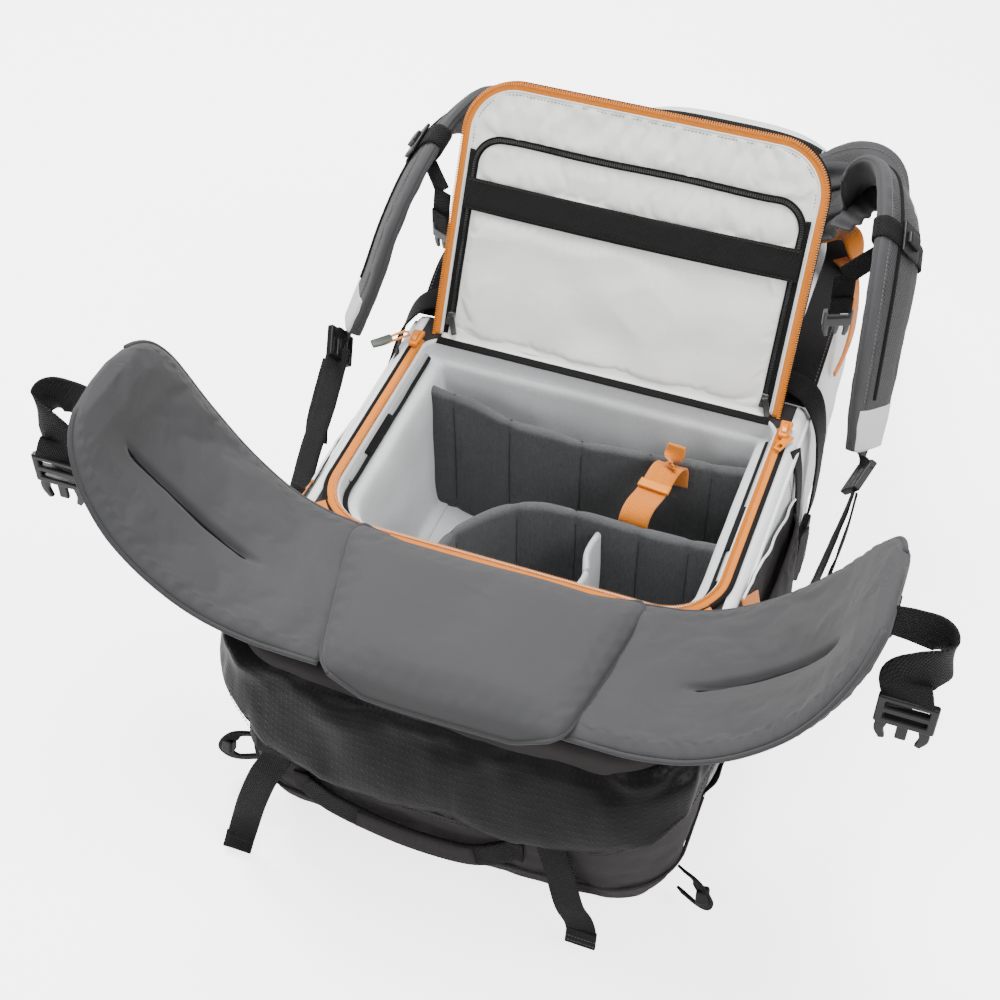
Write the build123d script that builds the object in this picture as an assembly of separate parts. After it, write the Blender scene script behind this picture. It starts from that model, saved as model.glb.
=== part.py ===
from build123d import *
import os

os.makedirs("parts", exist_ok=True)

# A hiking camera pack lying on its front face, with its back-access flap open.
# X runs across the pack, Y runs toward the head end, Z is up, and the origin is on the floor
# under the middle of the camera compartment. All sizes are in millimetres.

# Driving dimensions of the pack body
BACK_Z = 240.0            # harness face above the floor
SIDE_TOP = 182.0          # half width at the harness face
SIDE_MID = 197.0          # half width half way down
SIDE_FOOT = 170.0         # half width at the floor panel
SKIN = 5.0                # padded side wall
PANEL = 12.0              # padded floor panel and harness panel
BASE_END = -306.0         # foot end of the pack
CAMERA_END = -142.0       # where the base compartment meets the camera compartment
UPPER_START = 118.0       # where the upper compartment starts
LID_SEAM = 531.0          # seam between the upper compartment and its lid
HEAD_END = 590.0          # head end of the lid

# Camera compartment
MOUTH_HALF = 168.0        # half width of the zipped mouth
MOUTH_NEAR = -147.0       # foot-end edge of the mouth
HINGE_Y = 95.0            # fold line of the flap
MOUTH_RADIUS = 48.0
BOX_HALF = 158.0
BOX_NEAR = -140.0
BOX_FAR = 91.0
BOX_FLOOR = 62.0
BOX_TOP = 224.0
BOX_WALL = 5.0
DIVIDER = 9.0
RAIL_RADIUS = 3.5
RAIL_LENGTH = 174.0

# Flap
FLAP_HALF = 163.0
FLAP_LENGTH = 240.0
FLAP_OPEN = 116.0         # degrees from shut to the open rest position

# Harness
STRAP_WIDTH = 64.0
STRAP_THICK = 15.0
WEB_WIDTH = 25.0
WEB_THICK = 2.0
WING_THICK = 16.0
GAP = 0.4                 # clearance between neighbouring pieces

SIDES = {"left": -1.0, "right": 1.0}


def write(name, shape):
    """Save one node as its own file."""
    export_step(shape, "parts/" + name + ".step")


def block(x_range, y_range, z_range, corner=0.0):
    """Upright block, with its vertical corners rounded."""
    width = x_range[1] - x_range[0]
    depth = y_range[1] - y_range[0]
    plan = RectangleRounded(width, depth, corner) if corner else Rectangle(width, depth)
    solid = extrude(plan, z_range[1] - z_range[0])
    return Pos(sum(x_range) / 2, sum(y_range) / 2, z_range[0]) * solid


def ribbon(points, normals, widths, thickness):
    """Flat strap along straight runs, as a ruled loft of rectangles across its route."""
    route = [Vector(*point) for point in points]
    last = len(route) - 1
    sections = []
    for index, point in enumerate(route):
        tangent = (route[min(index + 1, last)] - route[max(index - 1, 0)]).normalized()
        normal = Vector(*normals[min(index, len(normals) - 1)])
        side = tangent.cross(normal).normalized()
        width = widths[min(index, len(widths) - 1)]
        across = Plane(origin=point, x_dir=side, z_dir=tangent)
        sections.append(across * Rectangle(width, thickness))
    return loft(sections, ruled=True)


def outline(half, near, far, near_radius, far_radius):
    """Plan of the mouth or the flap: a rectangle with different corners at its two ends."""
    plan = Pos(0, (near + far) / 2) * Rectangle(2 * half, far - near)
    plan = fillet(plan.vertices().sort_by(Axis.Y)[:2], near_radius)
    return fillet(plan.vertices().sort_by(Axis.Y)[-2:], far_radius)


def slice_up(plan, low, high):
    """Extrude a plan between two heights."""
    return Pos(0, 0, low) * extrude(plan, high - low)


def mirrored(shape, sign):
    """The right-hand piece as built, or its mirror image on the left."""
    return shape if sign > 0 else mirror(shape, about=Plane.YZ)


# Pack body ---------------------------------------------------------------------------------

def side_profile(inset, low, high):
    """Outer line of a side wall as an arc from the floor panel up to the harness face."""
    foot = (SIDE_FOOT - inset, low)
    middle = (SIDE_MID - inset, (low + high) / 2)
    top = (SIDE_TOP - inset, high)
    return ThreePointArc(foot, middle, top)


def side_sheet(outer_inset, inner_inset, low, high, y_range):
    """Bowed sheet between two insets of the side line, extruded along the pack."""
    outer = side_profile(outer_inset, low, high)
    inner = side_profile(inner_inset, low, high)
    foot = Line(outer @ 0, inner @ 0)
    top = Line(outer @ 1, inner @ 1)
    face = make_face([outer, top, inner, foot])
    sheet = extrude(face, y_range[1] - y_range[0])
    return Pos(0, y_range[1], 0) * Rot(90, 0, 0) * sheet


def side_panel(sign):
    wall = side_sheet(0, SKIN, PANEL + GAP, BACK_Z - PANEL - GAP, (CAMERA_END, UPPER_START - GAP))
    return mirrored(wall, sign)


def front_panel():
    slab = block((-SIDE_FOOT, SIDE_FOOT), (CAMERA_END, UPPER_START - GAP), (0, PANEL))
    return fillet(slab.edges().filter_by(Axis.Y).sort_by(Axis.Z)[:2], 9)


def harness_panel():
    plan = Pos(0, (-288 + UPPER_START) / 2) * Rectangle(2 * SIDE_TOP, UPPER_START + 288)
    plan = fillet(plan.vertices().sort_by(Axis.Y)[:2], 40)
    plan -= outline(MOUTH_HALF, MOUTH_NEAR, HINGE_Y + 2, MOUTH_RADIUS, 12)
    slab = slice_up(plan, BACK_Z - PANEL, BACK_Z)
    return fillet(slab.edges().filter_by(Axis.Y).sort_by(Axis.Z)[-4:].sort_by(Axis.X)[0::3], 5)


def base_compartment():
    body = block((-190, 190), (-300, CAMERA_END - GAP), (0, 127), 0)
    corners = body.edges().filter_by(Axis.Z).sort_by(Axis.Y)[:2]
    body = fillet(corners, 62)
    rim = body.faces().sort_by(Axis.Z)[0].edges().filter_by(lambda edge: edge.center().Y < CAMERA_END - 2)
    inside = block((-160, 160), (-270, CAMERA_END - 6), (6, 121), 24)
    return fillet(rim, 26) - inside


def base_cover():
    body = block((-196, 196), (BASE_END, CAMERA_END - GAP), (127 + GAP, BACK_Z - PANEL - GAP), 0)
    corners = body.edges().filter_by(Axis.Z).sort_by(Axis.Y)[:2]
    body = fillet(corners, 58)
    rim = body.faces().sort_by(Axis.Z)[-1].edges().filter_by(lambda edge: edge.center().Y < CAMERA_END - 2)
    inside = block((-170, 170), (-280, CAMERA_END - 6), (134, 221), 30)
    return fillet(rim, 12) - inside


def upper_section(y, half, low, high, radius, inset=0.0):
    """Cross-section of the upper compartment at one station."""
    across = Plane(origin=(0, y, (low + high) / 2), x_dir=(1, 0, 0), z_dir=(0, 1, 0))
    return across * RectangleRounded(2 * (half - inset), high - low - 2 * inset, radius - inset)


UPPER_STATIONS = [
    (UPPER_START, 186.0, 0.0, 240.0, 26.0),
    (180.0, 190.0, 0.0, 262.0, 34.0),
    (310.0, 184.0, 0.0, 262.0, 40.0),
    (430.0, 160.0, 0.0, 250.0, 46.0),
    (LID_SEAM, 138.0, 0.0, 238.0, 50.0),
]


def upper_shell():
    outer = loft([upper_section(*station) for station in UPPER_STATIONS], ruled=True)
    inner_stations = [(UPPER_START + SKIN,) + UPPER_STATIONS[0][1:]] + UPPER_STATIONS[1:-1]
    inner_stations.append((LID_SEAM + 1,) + UPPER_STATIONS[-1][1:])
    inner = loft([upper_section(*station, inset=SKIN) for station in inner_stations], ruled=True)
    return outer - inner


def lid():
    stations = [
        (LID_SEAM + GAP, 138.0, 6.0, 238.0, 50.0),
        (LID_SEAM + 28, 130.0, 16.0, 228.0, 50.0),
        (LID_SEAM + 48, 112.0, 38.0, 208.0, 48.0),
        (HEAD_END, 84.0, 64.0, 180.0, 44.0),
    ]
    cap = loft([upper_section(*station) for station in stations], ruled=True)
    pocket = block((-70, 70), (LID_SEAM + 6, HEAD_END - 8), (74, 170), 12)
    return cap - pocket


def lid_zip():
    """Raised zip along the harness-side edge of the lid seam."""
    outer_ends = [(LID_SEAM - 9, 143.5, 0.5, 242.5, 52), (LID_SEAM - 2, 142, 0.5, 241.5, 52)]
    inner_ends = [(LID_SEAM - 10, 140.8, -2, 239.8, 50), (LID_SEAM - 1, 139.2, -2, 238.9, 50)]
    band = loft([upper_section(*end) for end in outer_ends])
    core = loft([upper_section(*end) for end in inner_ends])
    ring = band - core
    return ring & block((-160, 160), (LID_SEAM - 20, LID_SEAM), (60, 260))


def frame_rail(sign):
    start = (sign * 163.0, -92.0, 227.0)
    rail = Cylinder(RAIL_RADIUS, RAIL_LENGTH, align=(Align.CENTER, Align.CENTER, Align.MIN))
    return Pos(*start) * Rot(-90, 0, 0) * rail


# Camera box --------------------------------------------------------------------------------

def camera_box():
    outer = block((-BOX_HALF, BOX_HALF), (BOX_NEAR, BOX_FAR), (BOX_FLOOR, BOX_TOP), 26)
    inner = block(
        (-BOX_HALF + BOX_WALL, BOX_HALF - BOX_WALL),
        (BOX_NEAR + BOX_WALL, BOX_FAR - BOX_WALL),
        (BOX_FLOOR + BOX_WALL, BOX_TOP + 1),
        21,
    )
    return outer - inner


def wall_along(path, low, high, thickness):
    """Upright padded wall along a route seen from above."""
    middle = (low + high) / 2
    points = [(x, y, middle) for x, y in path]
    normals = []
    last = len(path) - 1
    for index in range(len(path)):
        ahead = Vector(*path[min(index + 1, last)])
        behind = Vector(*path[max(index - 1, 0)])
        run = (ahead - behind).normalized()
        normals.append((-run.Y, run.X, 0))
    return ribbon(points, normals, [high - low], thickness)


def divider_rear():
    path = [(-151, 60), (-112, 55), (-72, 44), (-36, 38), (20, 39), (80, 46), (151, 55)]
    return wall_along(path, BOX_FLOOR + BOX_WALL + GAP, 214, DIVIDER)


def divider_front():
    path = [(-72, -134), (-68, -105), (-56, -78), (-38, -57), (-14, -43), (12, -37), (80, -36), (152, -37)]
    return wall_along(path, BOX_FLOOR + BOX_WALL + GAP, 206, DIVIDER)


def divider_small():
    path = [(47, -42), (44, -66), (50, -92), (47, -114), (52, -134)]
    return wall_along(path, BOX_FLOOR + BOX_WALL + GAP, 194, 5)


def divider_strap():
    points = [(88, 36, 190), (84, 22, 206), (78, 0, 203), (74, -15, 206), (72, -24, 196)]
    return ribbon(points, [(0, 0.5, 0.9)], [26], 2.4)


# Zips and flap -----------------------------------------------------------------------------

def body_zip():
    outer = outline(MOUTH_HALF + 8, MOUTH_NEAR - 7, HINGE_Y, MOUTH_RADIUS + 7, 1)
    inner = outline(MOUTH_HALF, MOUTH_NEAR + 1, HINGE_Y + 1, MOUTH_RADIUS, 1)
    return slice_up(outer - inner, BACK_Z + 0.2, BACK_Z + 3.0)


def opened(shape):
    """Swing a piece from the shut flap to the open flap."""
    return shape.rotate(Axis((0, HINGE_Y, BACK_Z), (1, 0, 0)), -FLAP_OPEN)


def flap_plan(half, length, near_radius, start=4.0):
    return outline(half, HINGE_Y - length, HINGE_Y - start, near_radius, 4)


def flap_panel():
    return opened(slice_up(flap_plan(FLAP_HALF - 2, FLAP_LENGTH - 2, 46, 9.5), BACK_Z + 7.2, BACK_Z + 17))


def flap_lining():
    return opened(slice_up(flap_plan(FLAP_HALF - 8.4, FLAP_LENGTH - 8.4, 39.6), BACK_Z + 5, BACK_Z + 7))


def flap_zip():
    ring = flap_plan(FLAP_HALF, FLAP_LENGTH, 48) - flap_plan(FLAP_HALF - 8, FLAP_LENGTH - 8, 40, 3.0)
    return opened(slice_up(ring, BACK_Z + 4, BACK_Z + 6.9))


def flap_pocket_zip():
    ring = flap_plan(151, 192, 30) - flap_plan(144, 185, 24, 3.0)
    return opened(slice_up(ring, BACK_Z + 3.1, BACK_Z + 4.8))


def flap_webbing():
    band = block((-152, 152), (HINGE_Y - 152, HINGE_Y - 123), (BACK_Z + 1.0, BACK_Z + 2.9))
    return opened(band)


def flap_back_pads():
    pads = []
    for sign in (-1, 1):
        pad = block((-52, 52), (HINGE_Y - 212, HINGE_Y - 46), (BACK_Z + 17.3, BACK_Z + 30), 24)
        pad = fillet(pad.faces().sort_by(Axis.Z)[-1].edges(), 5)
        pads.append(opened(Pos(sign * 72, 0, 0) * pad))
    return Compound(children=pads)


def pocket_zip_slider():
    body = block((-152.5, -142.5), (HINGE_Y - 28, HINGE_Y - 14), (BACK_Z - 1.2, BACK_Z + 2.8), 2)
    return opened(body)


def zip_slider(sign):
    """Slider body with a pull plate lying on its back."""
    body = block((166.5, 178.5), (80, 93), (BACK_Z + 3.3, BACK_Z + 8.5), 3)
    plate = block((169.5, 175.5), (70, 88), (BACK_Z + 8.5, BACK_Z + 10.5), 2.5)
    return mirrored(body + plate, sign)


def zip_pull_left():
    """Cord loop with a moulded tab, lying outward from the left slider."""
    points = [(-181, 84, 246), (-192, 74, 246), (-206, 62, 245)]
    return ribbon(points, [(0, 0, 1)], [7, 9, 11], 3.2)


# Outer pockets, bands and straps --------------------------------------------------------------

def side_pocket(sign):
    """Stretch pocket standing off the side wall, open toward the head end."""
    low, high = 30, 190
    sheet = side_sheet(-14, -11.5, PANEL + GAP, BACK_Z - PANEL - GAP, (CAMERA_END, 22))
    foot = side_sheet(-11.5, -GAP, PANEL + GAP, BACK_Z - PANEL - GAP, (CAMERA_END, CAMERA_END + 3))
    front_edge = side_sheet(-11.5, -GAP, PANEL + GAP, BACK_Z - PANEL - GAP, (CAMERA_END, 22))
    band_low = block((150, 240), (CAMERA_END - 1, 23), (low, low + 3))
    band_high = block((150, 240), (CAMERA_END - 1, 23), (high - 3, high))
    window = block((150, 240), (CAMERA_END - 1, 23), (low, high))
    pocket = ((sheet + foot) & window) + (front_edge & band_low) + (front_edge & band_high)
    return mirrored(pocket, sign)


def strap_across_side(sign, y, high, low, bulge):
    """Compression strap that leaves the harness edge, bows over the side and goes down it."""
    points = [
        (SIDE_TOP, y - 6, high),
        (SIDE_TOP + 13, y, high - 6),
        (SIDE_MID + bulge, y + 6, high - 36),
        (SIDE_MID + bulge + 1, y + 12, (high + low) / 2),
        (SIDE_MID + 6, y + 14, low),
    ]
    normals = [(0, 0, 1), (0.6, 0, 0.8), (1, 0, 0.2), (1, 0, 0), (1, 0, -0.1)]
    return mirrored(ribbon(points, normals, [WEB_WIDTH], WEB_THICK), sign)


def compression_strap(sign):
    return strap_across_side(sign, 62, BACK_Z + 2.6, 148, 9)


def compression_buckle(sign):
    """Side-release buckle at the end of the compression strap."""
    shell = block((199.5, 210.5), (57, 95), (100, 146), 4)
    prongs = block((201, 209), (62, 90), (84, 99.5), 3)
    slot = block((202.5, 207.5), (62, 90), (133, 141))
    return mirrored(shell + prongs - slot, sign)


def edge_bands():
    """Wide webbing bands sewn along the upper edges beside the harness."""
    bands = []
    for sign in (-1, 1):
        points = [(172, 124, 243.4), (172, 178, 264.4), (168, 308, 264.4), (158, 360, 260)]
        bands.append(mirrored(ribbon(points, [(0, 0, 1)], [30], WEB_THICK), sign))
    return Compound(children=bands)


def strap_anchor(sign):
    """Tapered tab at the harness edge that the lower webbing is sewn to."""
    points = [(190.5, -100, 231), (194, -104, 224), (202, -112, 212)]
    return mirrored(ribbon(points, [(1, 0, 0.2)], [34, 31, 22], 2.2), sign)


def strap_anchors():
    return Compound(children=[strap_anchor(-1), strap_anchor(1)])


def base_strap(x_start, x_end):
    points = [
        (x_start, -303, 118),
        (x_start + (x_end - x_start) * 0.35, -311, 92),
        (x_start + (x_end - x_start) * 0.75, -316, 48),
        (x_end, -320, 12),
        (x_end, -331, 2.2),
    ]
    return ribbon(points, [(0, -1, 0.1), (0, -1, 0.1), (0, -1, 0.1), (0, -1, 0.4), (0, -0.2, 1)], [29], 2.4)


def gear_loops():
    """Small webbing loops at the two foot corners."""
    loops = []
    for sign in (-1, 1):
        points = [(194, -250, 52), (206, -262, 58), (217, -262, 42), (212, -256, 22), (195, -246, 17)]
        loops.append(mirrored(ribbon(points, [(0.2, 1, 0.3)], [12], 3), sign))
    return Compound(children=loops)


def carry_handle():
    points = [
        (-122, -304, 94),
        (-84, -309, 86),
        (-30, -312, 78),
        (20, -312, 80),
        (46, -309, 86),
        (72, -304, 94),
    ]
    return ribbon(points, [(0, -1, 0.1)], [20, 24, 24, 24, 24, 20], 4)


# Lumbar pad and hip wings ------------------------------------------------------------------------

LUMBAR = [(-129, -155.5), (127, -155.5), (104, -297), (-92, -297)]


def lumbar_pad():
    plan = fillet(make_face(Polyline(*LUMBAR, close=True)).vertices(), 7)
    pad = slice_up(plan, BACK_Z + GAP, BACK_Z + 21)
    return fillet(pad.faces().sort_by(Axis.Z)[-1].edges(), 6)


WING_ROUTE = [(98, 252), (155, 258), (190, 271), (225, 295), (256, 326), (276, 354), (291, 382), (302, 408)]


def wing_arc(offset):
    """Curled wing line seen along the pack, shifted sideways by an offset."""
    route = [Vector(x, z) for x, z in WING_ROUTE]
    last = len(route) - 1
    points = []
    for index, point in enumerate(route):
        run = (route[min(index + 1, last)] - route[max(index - 1, 0)]).normalized()
        points.append(point + Vector(-run.Y, run.X) * offset)
    return points


def hip_wing(sign):
    """Curved pad: the curled section extruded along Y and trimmed to the wing outline."""
    upper = Spline(*wing_arc(WING_THICK / 2))
    lower = Spline(*wing_arc(-WING_THICK / 2))
    face = make_face([upper, Line(upper @ 1, lower @ 1), lower, Line(lower @ 0, upper @ 0)])
    curled = Pos(0, -120, 0) * Rot(90, 0, 0) * extrude(face, 200)
    base_near, base_far, tip = 242.0, 263.0, 490.0
    near_side = [(base_near, -291), (330, -301), (tip - 50, -296), (tip - 10, -262), (tip, -215)]
    far_side = [(tip - 9, -165), (tip - 55, -142), (370, -147), (base_far, -154)]
    plan = Polyline(*near_side, *far_side, close=True)
    plan = fillet(make_face(plan).vertices().sort_by(Axis.X)[2:], 24)
    across = Plane(origin=(0, 0, 0), x_dir=(0.8, 0, 0.6), z_dir=(-0.6, 0, 0.8))
    trim = across * extrude(plan, 600, both=True)
    return mirrored(curled & trim, sign)


def hip_webbing(sign):
    """Waist webbing folded back at the wing tip."""
    points = [
        (306.5, -222, 388),
        (328, -220, 385),
        (347, -226, 380),
        (350, -236, 376),
        (336, -244, 372),
        (322, -247, 368),
    ]
    normals = [(0, 1, 0.1), (0, 1, 0.1), (0.7, 0.7, 0), (0.9, -0.3, 0), (0, -1, 0), (0, -1, 0)]
    return mirrored(ribbon(points, normals, [38], 2.2), sign)


def hip_buckle(sign):
    """Waist buckle half hanging from the folded webbing."""
    frame = block((308, 350), (-254, -250), (318, 346), 0) - block((314, 344), (-256, -248), (334, 341))
    tongue = block((312, 318), (-254, -250), (300, 318.2)) + block((340, 346), (-254, -250), (300, 318.2))
    middle = block((326, 332), (-254, -250), (304, 318.2))
    return mirrored(frame + tongue + middle, sign)


# Shoulder straps ----------------------------------------------------------------------------------

STRAP_ROUTE = {
    "left": [(88, 332, 286), (128, 328, 322), (160, 310, 356), (184, 270, 381), (196, 215, 383),
             (204, 165, 364), (213, 128, 330), (223, 104, 285), (237, 86, 240)],
    "right": [(88, 332, 286), (132, 330, 322), (170, 312, 356), (202, 276, 380), (220, 222, 384),
              (229, 170, 364), (233, 134, 328), (236, 112, 284), (239, 92, 240)],
}
STRAP_FACING = [(-0.7, 0, 0.7), (-0.4, -0.4, 0.75), (0.2, -0.6, 0.75), (0.75, -0.2, 0.6), (0.82, -0.15, 0.55),
                (0.86, -0.25, 0.45), (0.9, -0.3, 0.35), (0.9, -0.35, 0.3), (0.9, -0.4, 0.2)]
STRAP_WIDTHS = [70, 70, 68, 64, 62, 62, 60, 56, 40]


def shoulder_strap(side):
    pad = ribbon(STRAP_ROUTE[side], STRAP_FACING, STRAP_WIDTHS, STRAP_THICK)
    return mirrored(pad, SIDES[side])


def yoke():
    """Padded bridge between the two shoulder straps."""
    pad = block((-72, 72), (300, 364), (264, 284), 14)
    return fillet(pad.faces().sort_by(Axis.Z)[-1].edges(), 5)


def strap_frame(side, first, share):
    """Local plane on the strap between two route points: X across, Y outward, Z along it."""
    here = Vector(*STRAP_ROUTE[side][first])
    ahead = Vector(*STRAP_ROUTE[side][first + 1])
    tangent = (ahead - here).normalized()
    facing = Vector(*STRAP_FACING[first]) + Vector(*STRAP_FACING[first + 1])
    across = tangent.cross(facing).normalized()
    return Plane(origin=here + (ahead - here) * share, x_dir=across, z_dir=tangent)


def sternum_slider(side):
    """Webbing keeper that rides along the shoulder strap."""
    local = strap_frame(side, 4, 0.5)
    ring = extrude(Rectangle(STRAP_WIDTH + 12, STRAP_THICK + 13), 11, both=True)
    ring -= extrude(Rectangle(STRAP_WIDTH + 5, STRAP_THICK + 6), 12, both=True)
    return mirrored(local * ring, SIDES[side])


STERNUM_DROP = {"left": (178, 168, 352), "right": (190, 176, 352)}


def sternum_buckle(side):
    """Chest webbing hanging from the keeper, with its buckle half."""
    x, y, z = STERNUM_DROP[side]
    web = ribbon([(x, y, z), (x - 2, y - 3, z - 18), (x - 1, y - 3, z - 38)], [(1, 0.2, 0)], [20], 2)
    clip = block((x - 4.5, x + 2.5), (y - 15, y + 9), (z - 70, z - 38.2), 2)
    return mirrored(web + clip, SIDES[side])


ADJUSTER = (243.0, 66.0, 228.0)


def strap_adjuster(sign):
    """Ladder adjuster at the padded tip: a plate with two webbing slots."""
    plate = extrude(RectangleRounded(34, 36, 6), 2.5, both=True)
    for offset in (-9, 9):
        plate -= Pos(0, offset) * extrude(RectangleRounded(27, 6, 2), 4, both=True)
    local = Plane(origin=ADJUSTER, x_dir=(0.35, -0.5, 0.79), z_dir=(0.9, -0.1, -0.42))
    return mirrored(local * plate, sign)


def lower_webbing(sign):
    """Webbing from the adjuster down to the lower side of the pack."""
    points = [(241, 44, 213), (237, 14, 196), (231, -28, 184), (224, -70, 172), (216, -112, 158)]
    return mirrored(ribbon(points, [(0.9, 0.1, 0.3)], [WEB_WIDTH], WEB_THICK), sign)


# Write every node -----------------------------------------------------------------------------------

SINGLE_NODES = {
    "front_panel": front_panel,
    "harness_panel": harness_panel,
    "base_compartment": base_compartment,
    "base_cover": base_cover,
    "upper_shell": upper_shell,
    "lid": lid,
    "lid_zip": lid_zip,
    "camera_box": camera_box,
    "divider_rear": divider_rear,
    "divider_front": divider_front,
    "divider_small": divider_small,
    "divider_strap": divider_strap,
    "body_zip": body_zip,
    "flap_panel": flap_panel,
    "flap_lining": flap_lining,
    "flap_zip": flap_zip,
    "flap_pocket_zip": flap_pocket_zip,
    "flap_webbing": flap_webbing,
    "flap_back_pads": flap_back_pads,
    "pocket_zip_slider": pocket_zip_slider,
    "zip_pull_left": zip_pull_left,
    "edge_bands": edge_bands,
    "strap_anchors": strap_anchors,
    "gear_loops": gear_loops,
    "carry_handle": carry_handle,
    "lumbar_pad": lumbar_pad,
    "yoke": yoke,
}
PAIRED_NODES = {
    "side_panel": side_panel,
    "frame_rail": frame_rail,
    "side_pocket": side_pocket,
    "zip_slider": zip_slider,
    "compression_strap": compression_strap,
    "compression_buckle": compression_buckle,
    "hip_wing": hip_wing,
    "hip_webbing": hip_webbing,
    "hip_buckle": hip_buckle,
    "strap_adjuster": strap_adjuster,
    "lower_webbing": lower_webbing,
}
SHAPED_NODES = {
    "shoulder_strap": shoulder_strap,
    "sternum_slider": sternum_slider,
    "sternum_buckle": sternum_buckle,
}

for node, make in SINGLE_NODES.items():
    write(node, make())
for node, make in PAIRED_NODES.items():
    for side, sign in SIDES.items():
        write(node + "_" + side, make(sign))
for node, make in SHAPED_NODES.items():
    for side in SIDES:
        write(node + "_" + side, make(side))
write("base_strap_left", base_strap(-140, -176))
write("base_strap_right", base_strap(98, 130))
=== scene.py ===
import math

import bmesh
import bpy
import numpy as np
from mathutils import Matrix, Vector, noise


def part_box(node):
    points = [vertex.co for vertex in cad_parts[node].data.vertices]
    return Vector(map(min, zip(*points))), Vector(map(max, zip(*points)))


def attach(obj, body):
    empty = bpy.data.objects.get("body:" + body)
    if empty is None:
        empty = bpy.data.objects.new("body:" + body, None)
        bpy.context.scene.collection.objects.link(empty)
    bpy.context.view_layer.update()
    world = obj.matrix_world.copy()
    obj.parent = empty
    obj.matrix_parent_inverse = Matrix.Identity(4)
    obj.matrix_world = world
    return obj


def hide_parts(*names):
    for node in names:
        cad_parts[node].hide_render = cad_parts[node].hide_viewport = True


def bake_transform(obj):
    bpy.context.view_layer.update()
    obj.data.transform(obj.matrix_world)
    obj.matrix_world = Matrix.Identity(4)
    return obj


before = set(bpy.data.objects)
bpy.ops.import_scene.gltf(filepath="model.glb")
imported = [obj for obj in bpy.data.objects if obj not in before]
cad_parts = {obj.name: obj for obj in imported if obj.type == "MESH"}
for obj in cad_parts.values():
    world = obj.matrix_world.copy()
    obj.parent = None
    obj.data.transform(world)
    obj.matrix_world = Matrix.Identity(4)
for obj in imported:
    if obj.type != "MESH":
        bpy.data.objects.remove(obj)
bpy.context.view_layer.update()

# All lengths below are in millimetres, in the frame of the CAD part, until a mesh is made.
MM = 0.001


def corner(node, index):
    """Lowest (0) or highest (1) corner of a CAD node, in millimetres."""
    return np.array(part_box(node)[index]) / MM


BACK_Z = corner("harness_panel", 1)[2]
FOOT_Y = corner("base_cover", 0)[1]
CAMERA_END = corner("side_panel_right", 0)[1]
UPPER_START = corner("side_panel_right", 1)[1]
LID_SEAM = corner("upper_shell", 1)[1]
HEAD_END = corner("lid", 1)[1]
SIDE_TOP = corner("harness_panel", 1)[0]
SIDE_MID = corner("side_panel_right", 1)[0]
HINGE_Y = corner("body_zip", 1)[1]
MOUTH_HALF = corner("body_zip", 1)[0] - 8.0
MOUTH_NEAR = corner("body_zip", 0)[1] + 7.0
BOX_FLOOR = corner("camera_box", 0)[2] + 5.0
BOX_TOP = corner("camera_box", 1)[2]
FLAP_HALF = corner("flap_zip", 1)[0]
FLAP_LENGTH = 240.0
FLAP_ANGLE = math.radians(64.0)


SIDES = ((-1, "left"), (1, "right"))


def middle(node):
    """Middle of a CAD node's box, in millimetres."""
    return (corner(node, 0) + corner(node, 1)) / 2


def mirrored(rows, sign, *rest):
    """Rows of a strap for one side: x and the normal's x change sign with it; rest is added to each row."""
    return [(sign * r[0], r[1], r[2], *((sign * r[3],) if len(r) > 3 else ()), *r[4:], *rest) for r in rows]


# Geometry helpers ---------------------------------------------------------------------------

def smooth(rows, count):
    """Catmull-Rom curve through rows of numbers, spaced evenly along its first three columns."""
    p = np.array(rows, float)
    ends = np.vstack([2 * p[0] - p[1], p, 2 * p[-1] - p[-2]])
    t = np.linspace(0, 1, 24, endpoint=False)[:, None]
    runs = []
    for i in range(1, len(ends) - 2):
        a, b, c, d = ends[i - 1:i + 3]
        runs.append(0.5 * (2 * b + (c - a) * t + (2 * a - 5 * b + 4 * c - d) * t**2
                           + (3 * b - a - 3 * c + d) * t**3))
    fine = np.vstack(runs + [p[-1:]])
    steps = np.linalg.norm(np.diff(fine[:, :3], axis=0), axis=1)
    along = np.concatenate([[0], np.cumsum(steps)])
    at = np.linspace(0, along[-1], count)
    return np.stack([np.interp(at, along, fine[:, k]) for k in range(p.shape[1])], 1)


def unit(v):
    """Vectors of length 1."""
    v = np.asarray(v, float)
    return v / np.maximum(np.linalg.norm(v, axis=-1, keepdims=True), 1e-9)


def wobble(points, size, amount, seed=0.0):
    """Smooth noise at each point, in millimetres, with bumps about size across."""
    flat = np.asarray(points, float).reshape(-1, 3)
    values = [noise.noise(Vector(p) / size + Vector((seed, seed * 1.7, -seed))) for p in flat]
    return np.array(values).reshape(np.asarray(points).shape[:-1]) * amount


def new_piece(name, verts, faces, material, body, uvs=None, replaces=(), smooth_shade=True):
    """Mesh object from points in millimetres, riding on its body."""
    mesh = bpy.data.meshes.new(name)
    mesh.from_pydata((np.asarray(verts, float) * MM).tolist(), [], faces)
    mesh.update()
    if uvs is not None:
        layer = mesh.uv_layers.new(name="UVMap")
        index = np.empty(len(mesh.loops), np.int32)
        mesh.loops.foreach_get("vertex_index", index)
        layer.data.foreach_set("uv", (np.asarray(uvs, float) * MM)[index].ravel())
    mesh.polygons.foreach_set("use_smooth", [smooth_shade] * len(mesh.polygons))
    obj = bpy.data.objects.new(name, mesh)
    bpy.context.scene.collection.objects.link(obj)
    mesh.materials.append(material)
    if body:
        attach(obj, body)
    if replaces:
        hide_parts(*replaces)
    return obj


def grid_faces(nu, nv, wrap_v):
    """Quads of a grid of nu by nv points, closed across if wrap_v."""
    faces = []
    for i in range(nu - 1):
        for j in range(nv if wrap_v else nv - 1):
            k = (j + 1) % nv
            faces.append([i * nv + j, (i + 1) * nv + j, (i + 1) * nv + k, i * nv + k])
    return faces


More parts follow.
